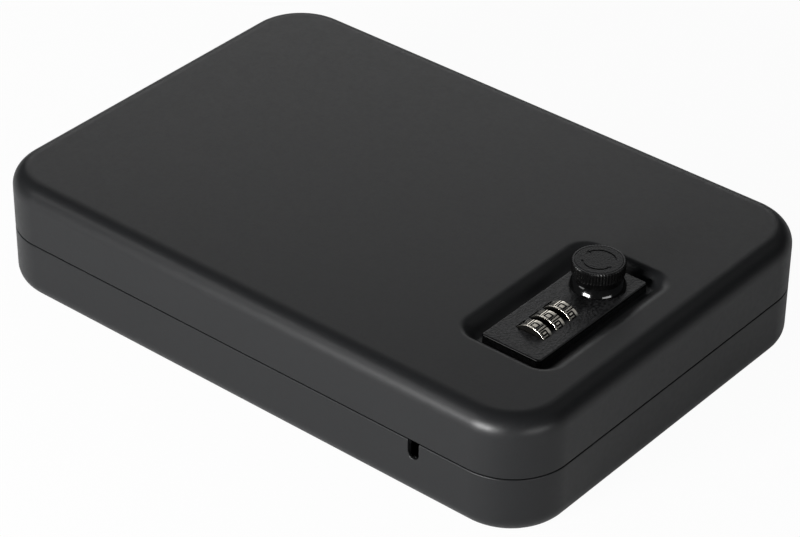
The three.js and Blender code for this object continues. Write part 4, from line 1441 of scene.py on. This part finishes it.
@dataclass(frozen=True)
class Knob:
    """The turning knob: a glossy skirt, a knurled head and a textured cap."""

    foot: float = 0.25
    foot_radius: float = 9.5
    skirt: tuple[tuple[float, float], ...] = (
        (9.67, 0.42), (9.63, 0.8), (9.46, 1.25), (9.23, 1.75), (8.96, 2.25), (8.66, 2.75),
    )
    neck: float = 8.35
    neck_low: float = 3.15
    # From the neck out under the head: steps out and heights
    under: tuple[tuple[float, float], ...] = ((0, 5.25), (0.12, 5.5), (0.45, 5.66))
    head: float = 9.2
    # Up the head's lower part: insets and heights
    head_foot: tuple[tuple[float, float], ...] = ((0.3, 5.72), (0.1, 5.8), (0, 6.0), (0, 6.3), (0, 7.6))
    # Round its upper edge: insets and drops from the top
    crown: tuple[tuple[float, float], ...] = (
        (0, 1.2), (0, 0.7), (0.05, 0.4), (0.14, 0.22), (0.25, 0.09), (0.38, 0.02), (0.5, 0),
    )
    teeth: int = 54
    tooth_steps: int = 8
    knurl: float = 0.28
    knurl_inset: float = 0.45
    knurl_fade: float = 0.03
    well: float = 8.25
    well_edge: float = 0.08
    well_depth: float = 0.8
    well_support: float = 0.3
    height: float = 10.1
    bore_depth: float = 7.7
    crease: float = 38.0
    satin_from: float = 5.7
    # How far down from the top the head's painted rim highlight reaches
    rim_highlight_drop: float = 0.06
    skirt_steps: int = 6
    cap_steps: int = 128
    cap_gap: float = 0.06
    cap_sink: float = 0.08
    cap_thick: float = 0.55
    # Round the cap's edge: insets and drops from its top
    cap_edge: tuple[tuple[float, float], ...] = ((0, 0.15), (0.05, 0.05), (0.16, 0), (0.5, 0))
    cap_middle: float = 0.5
    # The disc's edge and arrows lie this far down, and their normals have less height than this share
    cap_flat: float = 0.005
    cap_level: float = 0.96
    arrow_radius: float = 5.6
    arrow_width: float = 0.7
    arrow_depth: float = 0.25
    arrow_start: float = -50.0
    arrow_sweep: float = 120.0
    barb_share: float = 1.6
    point_share: float = 2.2

    def body(self) -> bpy.types.Object:
        """Make the knob: a turned profile whose head's radius waves with the teeth.

        The wave is the knurl's depth times a triangle wave of the angle, and fades at the head's edges.

        Returns:
            The piece.
        """
        head, high, well = self.head, self.height, self.well
        knots = [(self.foot_radius, self.foot), *self.skirt, (self.neck, self.neck_low)]
        skirt = curve_through(knots, self.skirt_steps)
        floor = high - self.well_depth
        profile = np.vstack([
            [0, self.foot], skirt,
            [(self.neck + out, z) for out, z in self.under],
            [(head - inset, z) for inset, z in self.head_foot],
            [(head - inset, high - drop) for inset, drop in self.crown],
            [(well + self.well_edge, high), (well, high - self.well_edge), (well, floor + self.well_support)],
            [(well, floor), (well - self.well_support, floor), (0, floor)],
        ])
        angle = np.arange(self.teeth * self.tooth_steps) / self.tooth_steps
        triangle = np.abs(angle % 1 * 2 - 1)
        radius, rise = profile[1:-1].T
        fades = [self.head_foot[0][1], self.head_foot[2][1], high - self.knurl_fade, high]
        weight = np.interp(rise, fades, [0, 1, 1, 0]) * (radius > head - self.knurl_inset)
        x, y, z = joint_place("knob_turn")
        wave = -self.knurl * weight[:, None] * triangle
        made = mesh_object("turning_knob", revolved(profile, len(angle), wave).moved(x, y, z))
        work(made, Join.CUT, post(SHAFT_HOLE, z - OVERRUN, z + self.bore_depth, x, y))
        smooth(made, self.crease)
        dress(made, GLOSS, "knob", "gloss_black", "knob")
        rise = face_table(made)[0][:, 2] - z
        also_finish(made, SATIN, rise > self.satin_from)
        # Painted highlight: the head's top edge is made a lighter grey
        also_finish(made, RIM_HIGHLIGHT_GREY, rise > high - self.rim_highlight_drop)
        return made

    def arrow(self, start: float, top: float) -> Solid:
        """Return the cutter of one turning arrow: an arc that ends in a point with two barbs.

        Args:
            start: the angle in degrees where it starts.
            top: the height that it is sunk from.

        Returns:
            The cutter.
        """
        end = start + self.arrow_sweep
        r, w = self.arrow_radius, self.arrow_width
        barb, ahead = w * self.barb_share, end + math.degrees(w * self.point_share / r)
        corners = ((r + barb, end), (r, ahead), (r - barb, end))
        tip = [arc(0, 0, radius, at, at, 0) for radius, at in corners]
        shape = np.vstack([arc(0, 0, r + w / 2, start, end), *tip, arc(0, 0, r - w / 2, end, start)])
        return raised(shape, top - self.arrow_depth, top + OVERRUN)

    def cap(self) -> bpy.types.Object:
        """Make the cap with two turning arrows sunk in it.

        Returns:
            The piece.
        """
        edge, top = self.well - self.cap_gap, self.height - self.cap_sink
        profile = np.vstack([
            [(0, top - self.cap_thick), (edge, top - self.cap_thick)],
            [(edge - inset, top - drop) for inset, drop in self.cap_edge],
            [(self.cap_middle, top), (0, top)],
        ])
        x, y, z = joint_place("knob_turn")
        made = mesh_object("knob_disc", revolved(profile, self.cap_steps).moved(x, y, z))
        for start in (self.arrow_start, self.arrow_start + 180):
            work(made, Join.CUT, self.arrow(start, top).moved(x, y, z))
        finish_edges(made)
        dress(made, CAP_CASTING, "knob", "lock_black", "knob_cap")
        centres, normals = face_table(made)
        below = centres[:, 2] - z < top - self.cap_flat
        also_finish(made, GLOSS, below & (normals[:, 2] < self.cap_level))
        return made


@dataclass(frozen=True)
class LatchDrive:
    """What the knob turns under the lock: the shaft, and the cam, washer and nut on it."""

    cam_hub: float = 6.6
    cam_half: float = 4.0
    cam_square: float = 2.6
    cam_edges: float = 0.25
    hub_steps: int = 64
    arm_steps: int = 32
    hole: float = 2.1
    washer_radius: float = 4.6
    washer_edge: float = 0.15
    nut_corner: float = 4.1
    nut_bevel: float = 0.4
    nut_face: float = 0.05
    nut_lean: float = 1.7
    nut_steps: int = 120
    bevel_steps: int = 5
    nut_crease: float = 25.0
    thread: float = 1.9
    thread_depth: float = 0.28
    pitch: float = 0.6
    thread_step: float = 0.06
    thread_start: float = 0.2
    tip_radius: float = 1.5
    neck_radius: float = 1.7
    neck_start: float = 0.05
    thread_steps: int = 48
    square: float = 2.4
    square_sink: float = 0.9
    square_over: float = 0.3
    shaft_radius: float = 3.6
    shaft_sink: float = 0.2
    shaft_steps: int = 64

    def cam(self) -> bpy.types.Object:
        """Make the cam: a round hub whose arm has a round end, with a square hole.

        Returns:
            The piece.
        """
        low, high = node_box("latch_cam")
        x, y, _ = joint_place("knob_turn")
        half, side = self.cam_half, self.cam_square
        meet = math.degrees(math.asin(half / self.cam_hub))
        hub = arc(0, 0, self.cam_hub, meet - 180, 180 - meet, self.hub_steps)
        shape = np.vstack([hub, arc(low[0] - x + half, 0, half, 90, 270, self.arm_steps)])
        made = mesh_object("turning_cam", raised(shape, low[2], high[2]).moved(x, y))
        hole = block((x - side, y - side, low[2] - OVERRUN), (x + side, y + side, high[2] + OVERRUN))
        work(made, Join.CUT, hole)
        finish_edges(made, self.cam_edges)
        return dress(made, ZINC_PLATE, "knob", "zinc_steel", "latch_cam")

    def washer(self) -> bpy.types.Object:
        """Make the washer under the cam.

        Returns:
            The piece.
        """
        (_, _, low), (_, _, high) = node_box("cam_washer")
        x, y, _ = joint_place("knob_turn")
        outer, ease = self.washer_radius, self.washer_edge
        profile = np.array([
            (self.hole, low), (outer - ease, low), (outer, low + ease), (outer, high - ease),
            (outer - ease, high), (self.hole, high),
        ])
        made = mesh_object("flat_washer", revolved(profile).moved(x, y))
        finish_edges(made)
        return dress(made, ZINC_PLATE, "knob", "zinc_steel", "cam_washer")

    def nut(self) -> bpy.types.Object:
        """Make the nut: the radius is the least of a hexagon's and a cone's at each height.

        Returns:
            The piece.
        """
        (_, _, low), (_, _, high) = node_box("cam_nut")
        x, y, _ = joint_place("knob_turn")
        sixth = math.pi / 6
        across = self.nut_corner * math.cos(sixth)
        angle = np.arange(self.nut_steps) * TURN / self.nut_steps
        hexagon = across / np.cos((angle + sixth) % (2 * sixth) - sixth)
        bevel, steps = self.nut_bevel, self.bevel_steps
        z = np.concatenate([np.linspace(low, low + bevel, steps), np.linspace(high - bevel, high, steps)])
        cone = across + self.nut_face + np.minimum(z - low, high - z) * self.nut_lean
        radius = np.minimum(hexagon, cone[:, None])
        made = mesh_object("hex_nut", loft(about_z(radius, angle + sixth, z[:, None])).moved(x, y))
        work(made, Join.CUT, post(self.hole, low - OVERRUN, high + OVERRUN, x, y))
        finish_edges(made)
        made.data.set_sharp_from_angle(angle=math.radians(self.nut_crease))
        return dress(made, ZINC_PLATE, "knob", "zinc_steel", "cam_nut")

    def shaft(self) -> bpy.types.Object:
        """Make the shaft: a round upper part, the square that drives the cam, and a threaded end.

        The thread's radius is a triangle wave of the height over the pitch, less the angle's share of a turn.

        Returns:
            The piece.
        """
        low, high = node_box("knob_shaft")
        x, y, _ = joint_place("knob_turn")
        cam_top = node_box("latch_cam")[1][2]
        washer = node_box("cam_washer")[0][2]
        z = np.arange(low[2] + self.thread_start, washer, self.thread_step)[:, None]
        turns = np.arange(self.thread_steps) / self.thread_steps
        ridges = self.thread - self.thread_depth * np.abs(((z / self.pitch - turns) % 1) * 2 - 1)
        rings = [
            about_z(self.tip_radius, turns * TURN, low[2]), *about_z(ridges, turns * TURN, z),
            about_z(self.neck_radius, turns * TURN, washer + self.neck_start),
        ]
        made = mesh_object("knob_spindle", loft(rings).moved(x, y))
        side, top = self.square, cam_top + self.square_over
        neck = post(self.neck_radius, washer, washer + OVERRUN, x, y)
        square = block((x - side, y - side, washer + self.square_sink), (x + side, y + side, top))
        upper = post(self.shaft_radius, cam_top + self.shaft_sink, high[2], x, y, self.shaft_steps)
        work(made, Join.ADD, neck, square, upper)
        finish_edges(made)
        return dress(made, ZINC_PLATE, "knob", "zinc_steel", "knob_shaft")


# Studio

@dataclass(frozen=True)
class SoftBox:
    """A rectangular lamp that looks at the box's middle. Its sizes are in metres, its power in watts.

    Azimuth 0 is towards +X and 90 towards +Y, in degrees.
    """

    name: str
    azimuth: float
    elevation: float
    distance: float
    size: tuple[float, float]
    power: float
    aim: tuple[float, float, float] = (0.0, -0.02, 0.03)

    def light(self) -> None:
        """Add the lamp, turned so that its local Z points back from what it lights."""
        data = bpy.data.lights.new(self.name, "AREA")
        data.shape = "RECTANGLE"
        data.size, data.size_y = self.size
        data.energy = self.power
        lamp = bpy.data.objects.new(self.name, data)
        bpy.context.scene.collection.objects.link(lamp)
        a, e = math.radians(self.azimuth), math.radians(self.elevation)
        away = np.array([math.cos(a) * math.cos(e), math.sin(a) * math.cos(e), math.sin(e)])
        lamp.location = np.array(self.aim) + away * self.distance
        side = np.array([-math.sin(a), math.cos(a), 0])
        turn = Matrix(np.column_stack([side, np.cross(away, side), away]).tolist())
        lamp.rotation_euler = turn.to_euler()


@dataclass(frozen=True)
class Studio:
    """The pale floor that is white to the camera, the even light, the lamps and the camera."""

    floor_half: float = 3000.0
    floor_drop: float = 0.05
    paper: str = "#ececec"
    paper_roughness: float = 0.9
    even_tint: tuple[float, float, float, float] = (0.9, 0.95, 1.0, 1.0)
    even_light: float = 0.07
    white_share: float = 0.96
    mirrored_share: float = 0.15
    camera_azimuth: float = -50.4617
    camera_elevation: float = 34.4055
    camera_roll: float = 0.6223
    focal_pixels: float = 3080.89
    offset: tuple[float, float, float] = (-1.15716, -11.97688, 1094.2905)
    image_width: int = 800
    sensor: float = 36.0
    clip: tuple[float, float] = (0.05, 50.0)
    lamps: tuple[SoftBox, ...] = (
        SoftBox("left_softbox", 178, 11, 1.0, (0.45, 0.24), 18.5),
        SoftBox("rear_left_softbox", 142, 34, 1.2, (0.5, 0.3), 1.6),
        SoftBox("rear_softbox", 42, 22, 1.3, (1.2, 0.4), 2.2),
        SoftBox("rear_high_softbox", 44, 42, 1.3, (1.0, 0.5), 0.6),
        SoftBox("right_high_softbox", -30, 45, 1.0, (0.5, 0.5), 0.2),
        SoftBox("front_strip", -107, 6, 1.0, (0.55, 0.19), 2.4),
    )

    def white_rays(self, tree: bpy.types.NodeTree) -> bpy.types.NodeSocket:
        """Return how much of the floor is plain white for a ray.

        That is one share for rays from the camera, a smaller one for rays from a reflection or through glass,
        and nothing for others.

        Args:
            tree: the floor's node tree.

        Returns:
            The share.
        """
        path = add_node(tree, "ShaderNodeLightPath").outputs
        seen = reckoned(tree, "MULTIPLY", path["Is Camera Ray"], self.white_share)
        second = reckoned(tree, "MAXIMUM", path["Is Glossy Ray"], path["Is Transmission Ray"])
        mirrored = reckoned(tree, "MULTIPLY", second, self.mirrored_share)
        return reckoned(tree, "MAXIMUM", seen, mirrored)

    def floor(self) -> None:
        """Lay a large pale floor that keeps a soft shadow, and is white to the camera."""
        half = self.floor_half
        corners = [(-half, -half), (half, -half), (half, half), (-half, half)]
        points = np.array([(x, y, -self.floor_drop) for x, y in corners])
        made = mesh_object("studio_floor", Solid(points, [[0, 1, 2, 3]]))
        material, tree, node = shader(
            "pale_paper_sweep", Base_Color=linear(self.paper), Roughness=self.paper_roughness,
            Specular_IOR_Level=0.0,
        )
        glow = add_node(tree, "ShaderNodeEmission", {"Color": (1, 1, 1, 1), "Strength": 1.0})
        mix = add_node(tree, "ShaderNodeMixShader", {
            0: self.white_rays(tree), 1: node.outputs[0], 2: glow.outputs[0],
        })
        tree.links.new(mix.outputs[0], tree.nodes["Material Output"].inputs["Surface"])
        made.data.materials.append(material)

    def surroundings(self) -> None:
        """Set the world: an even cool light, and white to the camera."""
        world = bpy.data.worlds.new("studio")
        bpy.context.scene.world = world
        world.use_nodes = True
        tree = world.node_tree
        even = tree.nodes["Background"]
        even.inputs["Color"].default_value = self.even_tint
        even.inputs["Strength"].default_value = self.even_light
        white = add_node(tree, "ShaderNodeBackground", {"Color": (1, 1, 1, 1), "Strength": 1.0})
        path = add_node(tree, "ShaderNodeLightPath")
        mix = add_node(tree, "ShaderNodeMixShader", {
            0: path.outputs["Is Camera Ray"], 1: even.outputs[0], 2: white.outputs[0],
        })
        tree.links.new(mix.outputs[0], tree.nodes["World Output"].inputs["Surface"])

    def camera(self) -> None:
        """Place the camera from its fitted angles, and its offset along its own axes in millimetres."""
        a, e, r = (math.radians(v) for v in (self.camera_azimuth, self.camera_elevation, self.camera_roll))
        back = np.array([math.sin(a) * math.cos(e), -math.cos(a) * math.cos(e), math.sin(e)])
        level = np.array([math.cos(a), math.sin(a), 0])
        upright = np.cross(back, level)
        right = math.cos(r) * level + math.sin(r) * upright
        up = math.cos(r) * upright - math.sin(r) * level
        data = bpy.data.cameras.new("camera")
        data.sensor_width = self.sensor
        data.sensor_fit = "HORIZONTAL"
        data.lens = self.focal_pixels * self.sensor / self.image_width
        data.clip_start, data.clip_end = self.clip
        made = bpy.data.objects.new("camera", data)
        bpy.context.scene.collection.objects.link(made)
        turn = Matrix(np.column_stack([right, up, back]).tolist())
        tx, ty, tz = self.offset
        made.matrix_world = Matrix.Translation((-tx * right - ty * up + tz * back) * MM) @ turn.to_4x4()
        bpy.context.scene.camera = made

    def build(self) -> None:
        """Make the studio."""
        bpy.context.scene.view_settings.view_transform = "Standard"
        self.camera()
        self.floor()
        self.surroundings()
        for lamp in self.lamps:
            lamp.light()


def main() -> None:
    """Build the lock box's looks in order."""
    logging.basicConfig(level=logging.INFO, format="%(message)s")
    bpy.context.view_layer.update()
    Studio().build()
    case = Case()
    case.base_shell()
    case.lid_shell()
    case.rim_lip()
    case.strike()
    hinge = Hinge()
    for side in HingeSide:
        hinge.half(side)
    hinge.pin()
    foam = FoamLining()
    foam.pad("base_lining", "base_foam_pad", "base", 1)
    foam.pad("lid_lining", "lid_foam_pad", "lid", -1)
    lock = Lock()
    lock.plate()
    lock.works()
    dial = Dial()
    for number in (1, 2, 3):
        dial.wheel(number)
        dial.numerals(number)
    knob = Knob()
    knob.body()
    knob.cap()
    drive = LatchDrive()
    drive.cam()
    drive.washer()
    drive.nut()
    drive.shaft()


if __name__ == "__main__":
    main()
